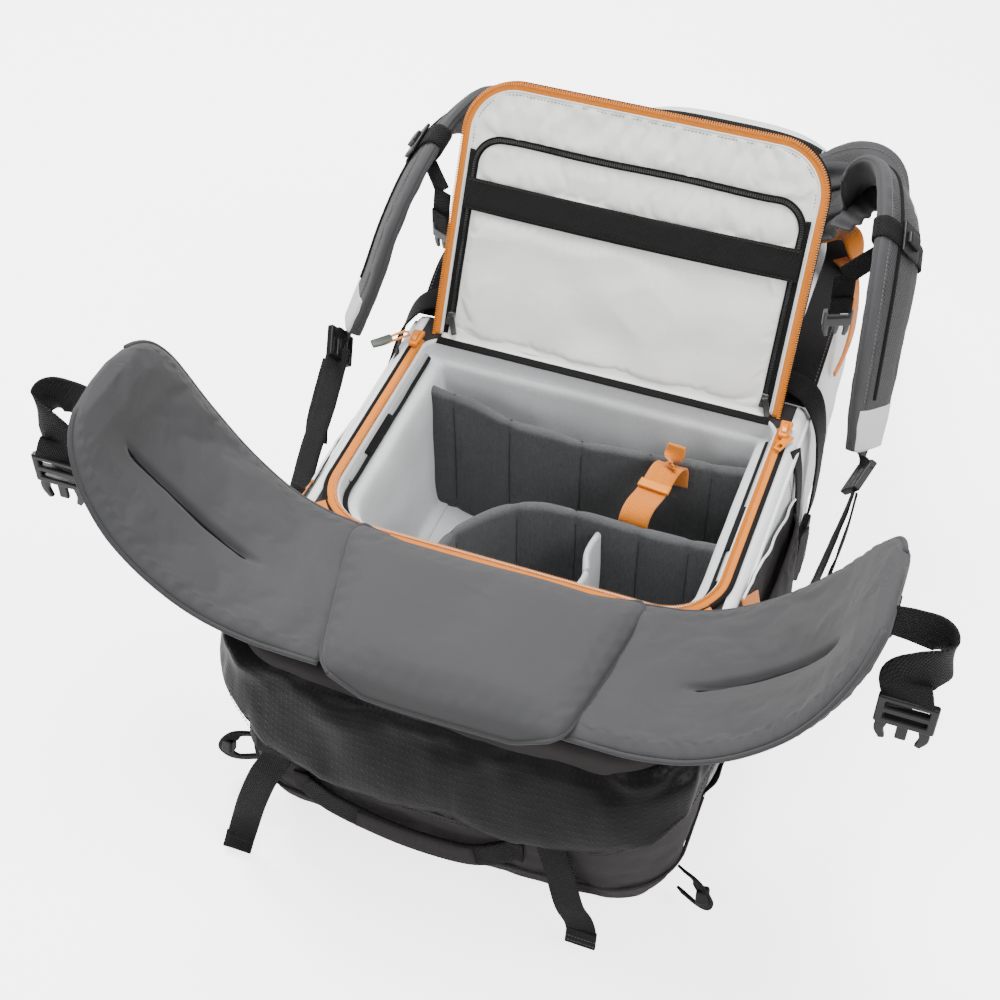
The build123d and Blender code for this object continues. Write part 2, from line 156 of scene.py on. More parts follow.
def surface(name, points, material, body, thick=0.0, wrap_v=False, uvs=None, replaces=(), caps=False):
    """Grid of points as a smooth sheet; thick makes it a closed skin, and caps close the ends of a tube."""
    nu, nv = points.shape[:2]
    if uvs is None:
        across = np.linalg.norm(np.diff(points, axis=1, append=points[:, :1]), axis=2)
        along = np.linalg.norm(np.diff(points, axis=0), axis=2)
        u = np.concatenate([np.zeros((nu, 1)), np.cumsum(across[:, :-1], 1)], 1).mean(0)
        v = np.concatenate([np.zeros((1, nv)), np.cumsum(along, 0)], 0).mean(1)
        u, v = u[None, :].repeat(nu, 0), v[:, None].repeat(nv, 1)
        uvs = np.stack([u, v], 2)
    faces = grid_faces(nu, nv, wrap_v)
    if caps:
        faces.append(list(range(nv)))
        faces.append([(nu - 1) * nv + j for j in range(nv)][::-1])
    obj = new_piece(name, points.reshape(-1, 3), faces, material, body, uvs.reshape(-1, 2), replaces)
    fix_normals(obj)
    if thick:
        thicken(obj, thick)
    return obj


def thicken(obj, thick):
    """Give a sheet its thickness, below its outer face."""
    shell = obj.modifiers.new("thickness", "SOLIDIFY")
    shell.thickness = thick * MM
    shell.offset = -1


def subdivide(obj):
    """Smooth a sheet with one level of subdivision."""
    smoother = obj.modifiers.new("smooth", "SUBSURF")
    smoother.levels = 1
    smoother.render_levels = 1


def fix_normals(obj):
    """Point every face of a closed mesh outward."""
    bm = bmesh.new()
    bm.from_mesh(obj.data)
    bmesh.ops.recalc_face_normals(bm, faces=bm.faces)
    bm.to_mesh(obj.data)
    bm.free()


def frames_along(path, normals):
    """Tangent, side and true normal at each point of a path."""
    tangent = unit(np.gradient(path, axis=0))
    side = unit(np.cross(tangent, unit(normals)))
    return tangent, side, unit(np.cross(side, tangent))


WEB_SECTION = [(-1, -0.4), (-0.97, -1), (-0.6, -1), (-0.2, -1), (0.2, -1), (0.6, -1), (0.97, -1), (1, -0.4),
               (1, 0.4), (0.97, 1), (0.6, 1), (0.2, 1), (-0.2, 1), (-0.6, 1), (-0.97, 1), (-1, 0.4)]


def pad_section(count=36, edge=0.16):
    """Closed section of a foam strap: full in the middle and pinched to a thin seam at both edges."""
    turns = np.linspace(0, 2 * math.pi, count, endpoint=False)
    a = np.sign(np.cos(turns)) * np.abs(np.cos(turns)) ** 0.55
    b = np.sin(turns)
    return np.stack([a, np.sign(b) * (edge * (np.abs(b) > 0.01) + (1 - edge) * np.abs(b) ** 0.7)], 1)


def sweep(name, rows, material, body, section=None, count=60, replaces=(), ripple=0.0, seed=0.0,
          curve=True):
    """Strap along rows of x, y, z, normal x, y, z, width, thickness."""
    section = np.array(WEB_SECTION if section is None else section, float)
    line = smooth(rows, count) if curve else np.array(rows, float)
    _, side, normal = frames_along(line[:, :3], line[:, 3:6])
    half_width = line[:, 6, None, None] / 2
    half_thick = line[:, 7, None, None] / 2
    points = line[:, None, :3] + side[:, None] * section[None, :, :1] * half_width
    points = points + normal[:, None] * section[None, :, 1:] * half_thick
    if ripple:
        points = points + normal[:, None] * wobble(points, 14, ripple, seed)[..., None]
    run = np.concatenate([[0], np.cumsum(np.linalg.norm(np.diff(line[:, :3], axis=0), axis=1))])
    u = section[None, :, 0] * half_width[..., 0]
    uvs = np.stack([u + 0 * run[:, None], run[:, None] + 0 * u], 2)
    return surface(name, points, material, body, wrap_v=True, uvs=uvs, replaces=replaces, caps=True)


def tube(name, path, radius, material, body, sides=10, count=None, replaces=()):
    """Round piping along a path, closed at both ends."""
    path = np.array(path, float)
    if count:
        path = smooth(path, count)
    guide = np.array([0.13, 0.21, 0.97])
    tangent = unit(np.gradient(path, axis=0))
    side = unit(np.cross(tangent, guide))
    up = np.cross(side, tangent)
    turn = np.linspace(0, 2 * math.pi, sides, endpoint=False)
    ring = side[:, None] * np.cos(turn)[None, :, None] + up[:, None] * np.sin(turn)[None, :, None]
    return surface(name, path[:, None] + ring * radius, material, body, wrap_v=True, replaces=replaces,
                   caps=True)


def boxes(name, centres, tangents, sides, normals, size, material, body, replaces=()):
    """Many small rounded-looking blocks in one mesh, such as zip teeth or stitches."""
    l, w, h = (s / 2 for s in size)
    shape = np.array([(-l, -w, -h), (l, -w, -h), (l, w, -h), (-l, w, -h),
                      (-l * 0.7, -w * 0.8, h), (l * 0.7, -w * 0.8, h), (l * 0.7, w * 0.8, h),
                      (-l * 0.7, w * 0.8, h)])
    verts = centres[:, None] + tangents[:, None] * shape[None, :, :1] + sides[:, None] * shape[None, :, 1:2]
    verts = (verts + normals[:, None] * shape[None, :, 2:]).reshape(-1, 3)
    quads = [(0, 3, 2, 1), (4, 5, 6, 7), (0, 1, 5, 4), (1, 2, 6, 5), (2, 3, 7, 6), (3, 0, 4, 7)]
    faces = [[k * 8 + i for i in quad] for k in range(len(centres)) for quad in quads]
    uvs = verts[:, :2]
    return new_piece(name, verts, faces, material, body, uvs, replaces, smooth_shade=False)


def teeth(name, path, normals, shift, pitch, size, material, body):
    """Row of zip teeth beside a path."""
    path = np.array(path, float)
    length = np.linalg.norm(np.diff(path, axis=0), axis=1).sum()
    line = smooth(np.hstack([path, np.array(normals, float)]), int(length / pitch))
    tangent, side, normal = frames_along(line[:, :3], line[:, 3:6])
    centres = line[:, :3] + side * shift + normal * size[2] * 0.3
    return boxes(name, centres, tangent, side, normal, size, material, body)


def stitches(name, path, normals, material, body, pitch=3.2, size=(2.2, 0.7, 0.6)):
    """Row of raised stitches along a path."""
    return teeth(name, path, normals, 0.0, pitch, size, material, body)


def block(name, centre, axes, size, material, body, bevel=1.0, replaces=(), holes=(), taper=1.0):
    """Moulded block with bevelled edges; axes are its X and Y directions."""
    x = unit(axes[0])
    z = unit(np.cross(x, axes[1]))
    y = np.cross(z, x)
    l, w, h = (s / 2 for s in size)
    corners = [(-l, -w), (l, -w * taper), (l, w * taper), (-l, w)]
    verts = [(a, b, -h) for a, b in corners] + [(a, b, h) for a, b in corners]
    world = [np.array(centre) + x * a + y * b + z * c for a, b, c in verts]
    faces = [(0, 3, 2, 1), (4, 5, 6, 7), (0, 1, 5, 4), (1, 2, 6, 5), (2, 3, 7, 6), (3, 0, 4, 7)]
    obj = new_piece(name, world, faces, material, body, np.array(verts)[:, :2], replaces,
                    smooth_shade=False)
    for hole in holes:
        cut_hole(obj, np.array(centre) + x * hole[0] + y * hole[1], (x, y, z), hole[2:4], h * 3)
    edge = obj.modifiers.new("edges", "BEVEL")
    edge.width = bevel * MM
    edge.segments = 3
    edge.limit_method = "ANGLE"
    obj.data.polygons.foreach_set("use_smooth", [True] * len(obj.data.polygons))
    edge.harden_normals = True
    return obj


def cut_hole(obj, centre, axes, size, depth):
    """Cut a rectangular slot through a block."""
    x, y, z = axes
    a, b = size[0] / 2, size[1] / 2
    verts = []
    for c in (-depth, depth):
        for p, q in ((-a, -b), (a, -b), (a, b), (-a, b)):
            verts.append((centre + x * p + y * q + z * c) * MM)
    mesh = bpy.data.meshes.new("cutter")
    mesh.from_pydata([tuple(v) for v in verts], [], [(0, 3, 2, 1), (4, 5, 6, 7), (0, 1, 5, 4), (1, 2, 6, 5),
                                                   (2, 3, 7, 6), (3, 0, 4, 7)])
    tool = bpy.data.objects.new("cutter", mesh)
    bpy.context.scene.collection.objects.link(tool)
    cut = obj.modifiers.new("hole", "BOOLEAN")
    cut.operation = "DIFFERENCE"
    cut.solver = "EXACT"
    cut.object = tool
    apply_modifiers(obj)
    bpy.data.objects.remove(tool)


def apply_modifiers(obj):
    """Bake the modifiers into the mesh."""
    bpy.context.view_layer.update()
    graph = bpy.context.evaluated_depsgraph_get()
    mesh = bpy.data.meshes.new_from_object(obj.evaluated_get(graph))
    obj.modifiers.clear()
    obj.data = mesh


def relax(obj, pins, frames=18, pressure=0.0, excess=0.0, cap=8.0, gravity=0.0, stiffness=12.0, bending=0.3):
    """Cloth pass on a finished grid: pinned points stay, the rest may move by no more than cap."""
    group = obj.vertex_groups.new(name="pin")
    group.add([int(i) for i in np.flatnonzero(pins)], 1.0, "REPLACE")
    rest = np.array([v.co for v in obj.data.vertices])
    cloth = obj.modifiers.new("Cloth", "CLOTH")
    settings = cloth.settings
    settings.quality = 5
    settings.mass = 0.25
    settings.tension_stiffness = stiffness
    settings.compression_stiffness = stiffness
    settings.shear_stiffness = stiffness / 2
    settings.bending_stiffness = bending
    settings.vertex_group_mass = "pin"
    settings.shrink_min = -excess
    settings.use_pressure = pressure > 0
    settings.uniform_pressure_force = pressure
    settings.effector_weights.gravity = gravity
    cloth.collision_settings.use_collision = False
    cloth.point_cache.frame_start = 1
    cloth.point_cache.frame_end = frames
    scene = bpy.context.scene
    for step in range(1, frames + 1):
        scene.frame_set(step)
    graph = bpy.context.evaluated_depsgraph_get()
    result = obj.evaluated_get(graph)
    moved = np.array([v.co for v in result.data.vertices])[:len(rest)]
    obj.modifiers.remove(cloth)
    scene.frame_set(1)
    shift = moved - rest
    far = np.linalg.norm(shift, axis=1, keepdims=True)
    shift = shift * np.minimum(1.0, cap * MM / np.maximum(far, 1e-9))
    obj.data.vertices.foreach_set("co", (rest + shift).astype(np.float32).ravel())
    obj.data.update()
    obj.vertex_groups.clear()
    return obj


# Materials ------------------------------------------------------------------------------------

def sine_of(tree, source, pitch):
    """Sine of a coordinate, with a period of pitch millimetres."""
    scaled = tree.nodes.new("ShaderNodeMath")
    scaled.operation = "MULTIPLY"
    scaled.inputs[1].default_value = 2 * math.pi / (pitch * MM)
    tree.links.new(source, scaled.inputs[0])
    wave = tree.nodes.new("ShaderNodeMath")
    wave.operation = "SINE"
    tree.links.new(scaled.outputs[0], wave.inputs[0])
    return wave.outputs[0]


def combine(tree, operation, a, b):
    """Math node on two sockets or numbers."""
    node = tree.nodes.new("ShaderNodeMath")
    node.operation = operation
    for socket, value in zip(node.inputs, (a, b)):
        if isinstance(value, (int, float)):
            socket.default_value = value
        else:
            tree.links.new(value, socket)
    return node.outputs[0]


def noise_of(tree, coords, size, detail=3.0, rough=0.55, stretch=None):
    """Noise with blobs about size millimetres across."""
    texture = tree.nodes.new("ShaderNodeTexNoise")
    texture.inputs["Scale"].default_value = 1.0 / (size * MM)
    texture.inputs["Detail"].default_value = detail
    texture.inputs["Roughness"].default_value = rough
    if stretch:
        mapping = tree.nodes.new("ShaderNodeMapping")
        mapping.inputs["Scale"].default_value = stretch
        tree.links.new(coords, mapping.inputs["Vector"])
        coords = mapping.outputs[0]
    tree.links.new(coords, texture.inputs["Vector"])
    return texture.outputs["Fac"]


def finish_material(name, colour, rough=0.8, kind="plain", pitch=0.8, weave=0.35, bump=0.25, mottle=0.12,
                    mottle_size=24.0, grain=0.08, sheen=0.0, coat=0.0, metallic=0.0, specular=0.4,
                    heather=0.0, crease=0.0):
    """Procedural finish: a weave or moulded texture on UV or object coordinates, mottled colour and bump."""
    material = bpy.data.materials.new(name)
    material.use_nodes = True
    tree = material.node_tree
    shader = tree.nodes["Principled BSDF"]
    coords = tree.nodes.new("ShaderNodeTexCoord")
    parts = tree.nodes.new("ShaderNodeSeparateXYZ")
    tree.links.new(coords.outputs["UV"], parts.inputs[0])
    u, v = parts.outputs[0], parts.outputs[1]
    if kind == "plain":
        height = combine(tree, "MULTIPLY", sine_of(tree, u, pitch), sine_of(tree, v, pitch))
    elif kind == "twill":
        height = sine_of(tree, combine(tree, "ADD", u, v), pitch)
        height = combine(tree, "MULTIPLY", height, combine(tree, "ADD", 1.0, sine_of(tree, u, pitch * 0.6)))
    elif kind == "rib":
        height = combine(tree, "MULTIPLY", sine_of(tree, v, pitch),
                         combine(tree, "ADD", 1.2, sine_of(tree, u, pitch)))
    elif kind == "diamond":
        one = sine_of(tree, combine(tree, "ADD", u, v), pitch)
        two = sine_of(tree, combine(tree, "SUBTRACT", u, v), pitch)
        height = combine(tree, "POWER", combine(tree, "MAXIMUM", combine(tree, "MULTIPLY", one, two), 0.0),
                         4.0)
    elif kind == "mesh":
        one = sine_of(tree, u, pitch)
        two = sine_of(tree, v, pitch)
        height = combine(tree, "MULTIPLY", combine(tree, "MAXIMUM", combine(tree, "MULTIPLY", one, two), 0.0),
                         -1.5)
    else:
        height = noise_of(tree, coords.outputs["Object"], pitch, 4.0)
    place = coords.outputs["Object"]
    cloud = noise_of(tree, place, mottle_size, 4.0)
    fine = noise_of(tree, place, 1.1, 2.0)
    shade = combine(tree, "MULTIPLY", combine(tree, "SUBTRACT", cloud, 0.5), mottle * 2)
    shade = combine(tree, "ADD", shade, combine(tree, "MULTIPLY", combine(tree, "SUBTRACT", fine, 0.5),
                                                grain * 2))
    shade = combine(tree, "ADD", shade, combine(tree, "MULTIPLY", height, weave * 0.3))
    if heather:
        threads = noise_of(tree, place, 1.6, 2.0, 0.7, (1.0, 1.0, 0.25))
        shade = combine(tree, "ADD", shade, combine(tree, "MULTIPLY", combine(tree, "SUBTRACT", threads, 0.5),
                                                    heather))
    level = combine(tree, "ADD", 1.0, shade)
    mix = tree.nodes.new("ShaderNodeMix")
    mix.data_type = "RGBA"
    mix.blend_type = "MULTIPLY"
    mix.inputs[0].default_value = 1.0
    mix.inputs[6].default_value = (*colour, 1)
    grey = tree.nodes.new("ShaderNodeCombineXYZ")
    for socket in grey.inputs:
        tree.links.new(level, socket)
    tree.links.new(grey.outputs[0], mix.inputs[7])
    tree.links.new(mix.outputs[2], shader.inputs["Base Color"])
    relief = combine(tree, "ADD", combine(tree, "MULTIPLY", height, weave),
                     combine(tree, "MULTIPLY", fine, grain * 2))
    if crease:
        relief = combine(tree, "ADD", relief, combine(tree, "MULTIPLY", noise_of(tree, place, 16, 3.0),
                                                      crease))
    bumps = tree.nodes.new("ShaderNodeBump")
    bumps.inputs["Strength"].default_value = bump
    bumps.inputs["Distance"].default_value = 0.001
    tree.links.new(relief, bumps.inputs["Height"])
    tree.links.new(bumps.outputs[0], shader.inputs["Normal"])
    spread = combine(tree, "ADD", rough, combine(tree, "MULTIPLY", combine(tree, "SUBTRACT", cloud, 0.5),
                                                 0.2))
    tree.links.new(spread, shader.inputs["Roughness"])
    shader.inputs["Metallic"].default_value = metallic
    shader.inputs["Specular IOR Level"].default_value = specular
    shader.inputs["Sheen Weight"].default_value = sheen
    shader.inputs["Sheen Roughness"].default_value = 0.4
    shader.inputs["Coat Weight"].default_value = coat
    shader.inputs["Coat Roughness"].default_value = 0.25
    return material


SHELL = finish_material("light_pack_cloth", (0.74, 0.75, 0.76), 0.72, "plain", 0.9, 0.3, 0.3, 0.05, 60, 0.05,
                        0.15, crease=1.6)
CHARCOAL = finish_material("charcoal_nylon", (0.025, 0.0215, 0.0222), 0.75, "plain", 1.0, 0.5, 0.4, 0.12, 40,
                           0.1, 0.03,
                           specular=0.2, crease=0.7)
COATED = finish_material("coated_black_cloth", (0.0020, 0.0020, 0.0022), 0.42, "diamond", 9.0, 0.8, 0.3, 0.15,
                         60, 0.05,
                         specular=0.12, crease=2.6)
PAD = finish_material("pad_stretch_weave", (0.042, 0.042, 0.044), 0.85, "plain", 0.8, 0.45, 0.3, 0.05, 70,
                      0.07, 0.1)
PAD_DARK = finish_material("pad_edge_weave", (0.034, 0.034, 0.036), 0.85, "plain", 0.8, 0.45, 0.35, 0.08, 40,
                           0.08, 0.1)
STRAP_MESH = finish_material("strap_air_mesh", (0.036, 0.034, 0.035), 0.8, "mesh", 3.2, 1.2, 0.8, 0.12, 20,
                             0.12, 0.1)
STRAP_TIP = finish_material("woven_strap_tip", (0.62, 0.62, 0.62), 0.7, "twill", 1.6, 0.5, 0.5, 0.05, 20,
                            0.05, 0.1)
SATIN = finish_material("satin_lining", (0.80, 0.80, 0.775), 0.40, "plain", 0.5, 0.15, 0.32, 0.04, 50, 0.03,
                        0.35,
                        specular=0.5, crease=3.0)
LINING = finish_material("brushed_box_lining", (0.52, 0.53, 0.54), 0.92, "grain", 1.4, 0.7, 0.5, 0.08, 18,
                         0.2, 0.4)
FELT = finish_material("heathered_divider", (0.050, 0.052, 0.054), 0.95, "grain", 1.2, 0.9, 0.7, 0.15, 14,
                       0.35, 0.15, heather=0.9)
FELT_SILVER = finish_material("silver_divider", (0.48, 0.49, 0.50), 0.8, "plain", 1.0, 0.5, 0.4, 0.08, 20,
                              0.1, 0.3, crease=1.0)
WEBBING = finish_material("black_webbing", (0.0088, 0.0082, 0.0082), 0.65, "twill", 2.6, 0.9, 0.7, 0.1, 30,
                          0.1, 0.02, specular=0.14)
BINDING = finish_material("black_binding", (0.0058, 0.0058, 0.0058), 0.7, "rib", 1.2, 0.8, 0.5, 0.08, 30, 0.1,
                          0.02, specular=0.14)
ORANGE_WEB = finish_material("orange_webbing", (0.66, 0.18, 0.0), 0.6, "twill", 2.0, 0.8, 0.6, 0.06, 20, 0.06,
                             0.15)
ORANGE_TAPE = finish_material("orange_zip_tape", (0.66, 0.185, 0.0), 0.6, "rib", 1.1, 0.7, 0.5, 0.05, 30,
                              0.05, 0.15)
ORANGE_TEETH = finish_material("orange_zip_teeth", (0.64, 0.195, 0.0), 0.38, "grain", 1.0, 0.2, 0.2, 0.03, 10,
                               0.03, coat=0.3)
BLACK_TEETH = finish_material("black_zip_teeth", (0.014, 0.014, 0.014), 0.35, "grain", 1.0, 0.2, 0.2, 0.05,
                              10, 0.05, coat=0.3)
STRETCH = finish_material("charcoal_stretch", (0.020, 0.0175, 0.018), 0.75, "rib", 1.3, 0.6, 0.45, 0.12, 30,
                          0.08, 0.03, specular=0.15,
                          crease=0.8)
PLASTIC = finish_material("black_moulded_plastic", (0.0048, 0.0048, 0.005), 0.38, "grain", 0.8, 0.25, 0.25,
                          0.08, 15, 0.08,
                          specular=0.25)
PLASTIC_GREY = finish_material("grey_moulded_plastic", (0.085, 0.085, 0.088), 0.42, "grain", 0.8, 0.25, 0.25,
                               0.08, 15, 0.08)
ENAMEL_ORANGE = finish_material("orange_enamel", (0.66, 0.185, 0.0), 0.3, "grain", 1.0, 0.1, 0.15, 0.04, 10,
                                0.03, coat=0.6)
ENAMEL_BLACK = finish_material("black_enamel", (0.012, 0.012, 0.012), 0.22, "grain", 1.0, 0.1, 0.1, 0.05, 10,
                               0.03, coat=0.8)
ALLOY = finish_material("satin_grey_tube", (0.36, 0.37, 0.38), 0.4, "grain", 1.5, 0.15, 0.15, 0.06, 20, 0.05,
                        metallic=0.7)
PULL_TAB = finish_material("grey_green_rubber", (0.075, 0.085, 0.072), 0.6, "grain", 1.0, 0.4, 0.3, 0.08, 10,
                           0.08)
THREAD_GREY = finish_material("grey_thread", (0.10, 0.10, 0.104), 0.8, "grain", 0.6, 0.5, 0.4, 0.08, 10, 0.1)
THREAD_DARK = finish_material("dark_thread", (0.015, 0.015, 0.016), 0.8, "grain", 0.6, 0.5, 0.4, 0.08, 10,
                              0.1)


# Camera, floor and light ------------------------------------------------------------------------

VIEW_AZIMUTH = math.radians(20.58)
VIEW_HEIGHT = math.radians(46.08)
LENS = 61.2


def build_camera():
    """Camera fitted to the pack's outlines."""
    data = bpy.data.cameras.new("camera")
    data.lens = LENS
    data.sensor_width = 36.0
    camera = bpy.data.objects.new("camera", data)
    bpy.context.scene.collection.objects.link(camera)
    back = Vector((math.sin(VIEW_AZIMUTH) * math.cos(VIEW_HEIGHT),
                   -math.cos(VIEW_AZIMUTH) * math.cos(VIEW_HEIGHT),
                   math.sin(VIEW_HEIGHT)))
    right = Vector((math.cos(VIEW_AZIMUTH), math.sin(VIEW_AZIMUTH), 0))
    up = back.cross(right)
    turn = Matrix((right, up, back)).transposed().to_4x4()
    camera.matrix_world = Matrix.Translation((0.3153, -0.9992, 1.2620)) @ turn
    data.clip_end = 50
    bpy.context.scene.camera = camera


FLOOR_GLOW = 3.0


def build_stage():
    """White floor that shines only for the camera."""
    mesh = bpy.data.meshes.new("floor")
    mesh.from_pydata([(-40, -40, -0.002), (40, -40, -0.002), (40, 40, -0.002), (-40, 40, -0.002)], [],
                     [(0, 1, 2, 3)])
    floor = bpy.data.objects.new("floor", mesh)
    bpy.context.scene.collection.objects.link(floor)
    white = bpy.data.materials.new("studio_floor")
    white.use_nodes = True
    shader = white.node_tree.nodes["Principled BSDF"]
    shader.inputs["Base Color"].default_value = (0.93, 0.925, 0.92, 1)
    shader.inputs["Roughness"].default_value = 0.9
    shader.inputs["Specular IOR Level"].default_value = 0.1
    tree = white.node_tree
    seen = tree.nodes.new("ShaderNodeLightPath")
    glow = tree.nodes.new("ShaderNodeEmission")
    glow.inputs["Color"].default_value = (1.0, 0.995, 0.99, 1)
    tree.links.new(combine(tree, "MULTIPLY", seen.outputs["Is Camera Ray"], FLOOR_GLOW),
                   glow.inputs["Strength"])
    both = tree.nodes.new("ShaderNodeAddShader")
    tree.links.new(shader.outputs[0], both.inputs[0])
    tree.links.new(glow.outputs[0], both.inputs[1])
    tree.links.new(both.outputs[0], tree.nodes["Material Output"].inputs["Surface"])
    mesh.materials.append(white)


LIGHTS = [
    ("key", (-1.3, 0.9, 2.3), 1.2, 112),
    ("fill", (1.9, -0.8, 1.9), 1.4, 52),
    ("front", (-0.6, -2.4, 1.6), 1.2, 26),
    ("top", (0.1, 0.2, 2.8), 1.0, 66),
]


def build_lights():
    """Soft lights and a white surrounding."""
    world = bpy.data.worlds.new("studio")
    world.use_nodes = True
    world.node_tree.nodes["Background"].inputs["Color"].default_value = (1.0, 1.0, 1.0, 1)
    world.node_tree.nodes["Background"].inputs["Strength"].default_value = 0.5
    bpy.context.scene.world = world
    for name, place, size, power in LIGHTS:
        data = bpy.data.lights.new(name, "AREA")
        data.shape = "DISK"
        data.size = size
        data.energy = power
        lamp = bpy.data.objects.new(name, data)
        bpy.context.scene.collection.objects.link(lamp)
        lamp.location = place
        aim = Vector((0, 0.05, 0.15)) - Vector(place)
        lamp.rotation_euler = aim.to_track_quat("-Z", "Y").to_euler()


# Pack body ----------------------------------------------------------------------------------------

def superloop(half, low, high, power, count, bow=0.0):
    """Rounded-rectangle loop in X and Z, starting at the middle of the top."""
    turn = np.linspace(0, 2 * math.pi, count, endpoint=False) + math.pi / 2
    c, s = np.cos(turn), np.sin(turn)
    x = np.sign(c) * np.abs(c) ** (2 / power)
    z = np.sign(s) * np.abs(s) ** (2 / power)
    level = (z + 1) / 2
    width = half * (1 + bow * (1 - (2 * level - 1) ** 2))
    return np.stack([x * width, low + level * (high - low)], 1)


def side_path(sign, count=40):
    """Side of the pack from the mouth zip, over the harness edge and down to the floor."""
    rows = [(MOUTH_HALF + 7, 0, BACK_Z + 1.2), (SIDE_TOP - 1, 0, BACK_Z + 0.3), (SIDE_TOP + 5, 0, BACK_Z - 9),
            (SIDE_TOP + 11, 0, BACK_Z - 50), (SIDE_MID + 1, 0, 120), (SIDE_TOP + 11, 0, 60),
            (SIDE_TOP - 2, 0, 14),
            (SIDE_TOP - 18, 0, 1.5), (SIDE_TOP - 34, 0, 0.8)]
    path = smooth(rows, count)
    path[:, 0] *= sign
    return path


def side_skins():
    """Light side panels beside the camera compartment."""
    for sign, side in SIDES:
        path = side_path(sign)
        stations = np.linspace(CAMERA_END - 8, UPPER_START + 2, 66)
        points = np.repeat(path[None], len(stations), 0)
        points[:, :, 1] = stations[:, None]
        share = (stations - stations[0]) / (stations[-1] - stations[0])
        weight = np.clip((BACK_Z - 6 - points[:, :, 2]) / 40, 0, 1)
        weight *= np.clip((stations[:, None] - 20) / 40, 0, 1)
        puff = np.sin(math.pi * share)[:, None] * weight * 2.5
        folds = wobble(points * np.array([1, 0.6, 1.6]), 34, 2.2, 3 * sign) * weight
        points[:, :, 0] += sign * (puff + folds)
        points[:, :, 2] = np.maximum(points[:, :, 2], 0.6)
        surface(f"side_skin_{side}", points, SHELL, "pack", 3.5,
                replaces=(f"side_panel_{side}",))
        stations = np.linspace(CAMERA_END - 4, UPPER_START, 60)
        edge = np.array([(sign * (SIDE_TOP + 4.6), y, BACK_Z - 7.2) for y in stations])
        edge[:, 0] += sign * (0.6 + wobble(edge, 50, 0.6))
        tube(f"side_piping_{side}", edge, 1.9, SHELL, "pack", 8)
        seam = np.array([(p[0] + sign * 1.4, 40 + 12 * math.sin(i / 12), p[2])
                         for i, p in enumerate(path[3:-3])])
        stitches(f"side_seam_{side}", seam, [(sign, 0, 0.2)] * len(seam), THREAD_GREY, "pack",
                 3.4)


def floor_skin():
    """Front panel that the pack lies on."""
    stations = np.linspace(CAMERA_END - 6, UPPER_START + 2, 30)
    across = np.linspace(-(SIDE_TOP - 34), SIDE_TOP - 34, 30)
    points = np.stack(np.meshgrid(stations, across, indexing="ij"), 2)
    points = np.stack([points[..., 1], points[..., 0], np.full(points.shape[:2], 0.8)], 2)
    points[..., 2] += np.abs(wobble(points, 60, 0.8))
    surface("floor_skin", points, SHELL, "pack", -3.0, replaces=("front_panel",))


UPPER = [(0.0, 187.0, 0.0, 241.0, 4.6), (0.15, 190.0, 0.0, 262.0, 4.4), (0.46, 185.0, 0.0, 264.0, 4.2),
         (0.75, 164.0, 0.0, 252.0, 4.0), (1.0, 139.0, 0.6, 238.5, 3.6)]


def upper_skin():
    """Shell of the upper compartment, behind the open flap."""
    shares = np.linspace(0, 1, 76)
    table = np.array(UPPER)
    count = 132
    loops = []
    for share in shares:
        half, low, high, power = [np.interp(share, table[:, 0], table[:, k]) for k in range(1, 5)]
        loop = superloop(half, low, high, power, count, 0.02)
        loops.append(np.stack([loop[:, 0], np.full(count, UPPER_START + share * (LID_SEAM - UPPER_START)),
                               loop[:, 1]], 1))
    points = np.array(loops)
    centre = np.array([0, 0, 118.0])
    out = unit((points - centre) * np.array([1, 0, 1.4]))
    lift = np.clip((points[..., 2] - 14) / 40, 0, 1)
    swell = np.sin(math.pi * shares)[:, None] ** 0.6
    creases = wobble(points * np.array([1, 0.55, 1.3]), 46, 4.5, 5.0) + wobble(points, 17, 1.2, 9.0)
    points = points + out * (creases * swell * lift)[..., None]
    points[..., 2] = np.maximum(points[..., 2], 0.4)
    surface("upper_skin", points, SHELL, "pack", 3.5, wrap_v=True, replaces=("upper_shell",))
    for sign in (-1, 1):
        for level, name in ((13, "harness"), (47, "front")):
            column = (count + sign * -level) % count
            line = points[:, column] + out[:, column] * 0.8
            tube(f"upper_piping_{name}_{'right' if sign > 0 else 'left'}", line, 2.0, SHELL, "pack",
                 8)
    ring = points[2].copy()
    ring = np.vstack([ring, ring[:1]])
    tube("upper_seam", ring + np.array([0, -2.5, 0]), 1.8, SHELL, "pack", 8)


def lid_skin():
    """Domed lid at the head end."""
    count = 120
    loops = []
    for step in np.linspace(0, 1, 26):
        angle = step * math.pi / 2 * 0.999
        scale = math.cos(angle) ** 0.42
        y = LID_SEAM + 0.6 + (HEAD_END - LID_SEAM - 2) * math.sin(angle) ** 1.25
        loop = superloop(139 * scale, 118 - 112 * scale, 118 + 120 * scale, 3.4, count, 0.0)
        loops.append(np.stack([loop[:, 0], np.full(count, y), loop[:, 1]], 1))
    points = np.array(loops)
    points[..., 1] += wobble(points, 60, 2.5, 2.0) * np.linspace(0, 1, 26)[:, None]
    points[..., 2] = np.maximum(points[..., 2], 4.0)
    points[..., 1] = np.minimum(points[..., 1], HEAD_END)
    surface("lid_skin", points, SHELL, "lid", 3.0, wrap_v=True, replaces=("lid",))
    face = points[-1]
    centre = face.mean(0) + np.array([0, 1.5, 0])
    rings = np.array([centre + (face - centre) * s for s in (1.0, 0.66, 0.33, 0.02)])
    surface("lid_face", rings, SHELL, "lid", 3.0, wrap_v=True)
    loop = np.vstack([points[14], points[14][:1]])
    tube("lid_seam", loop + np.array([0, 1.0, 0]), 1.6, SHELL, "lid", 8)


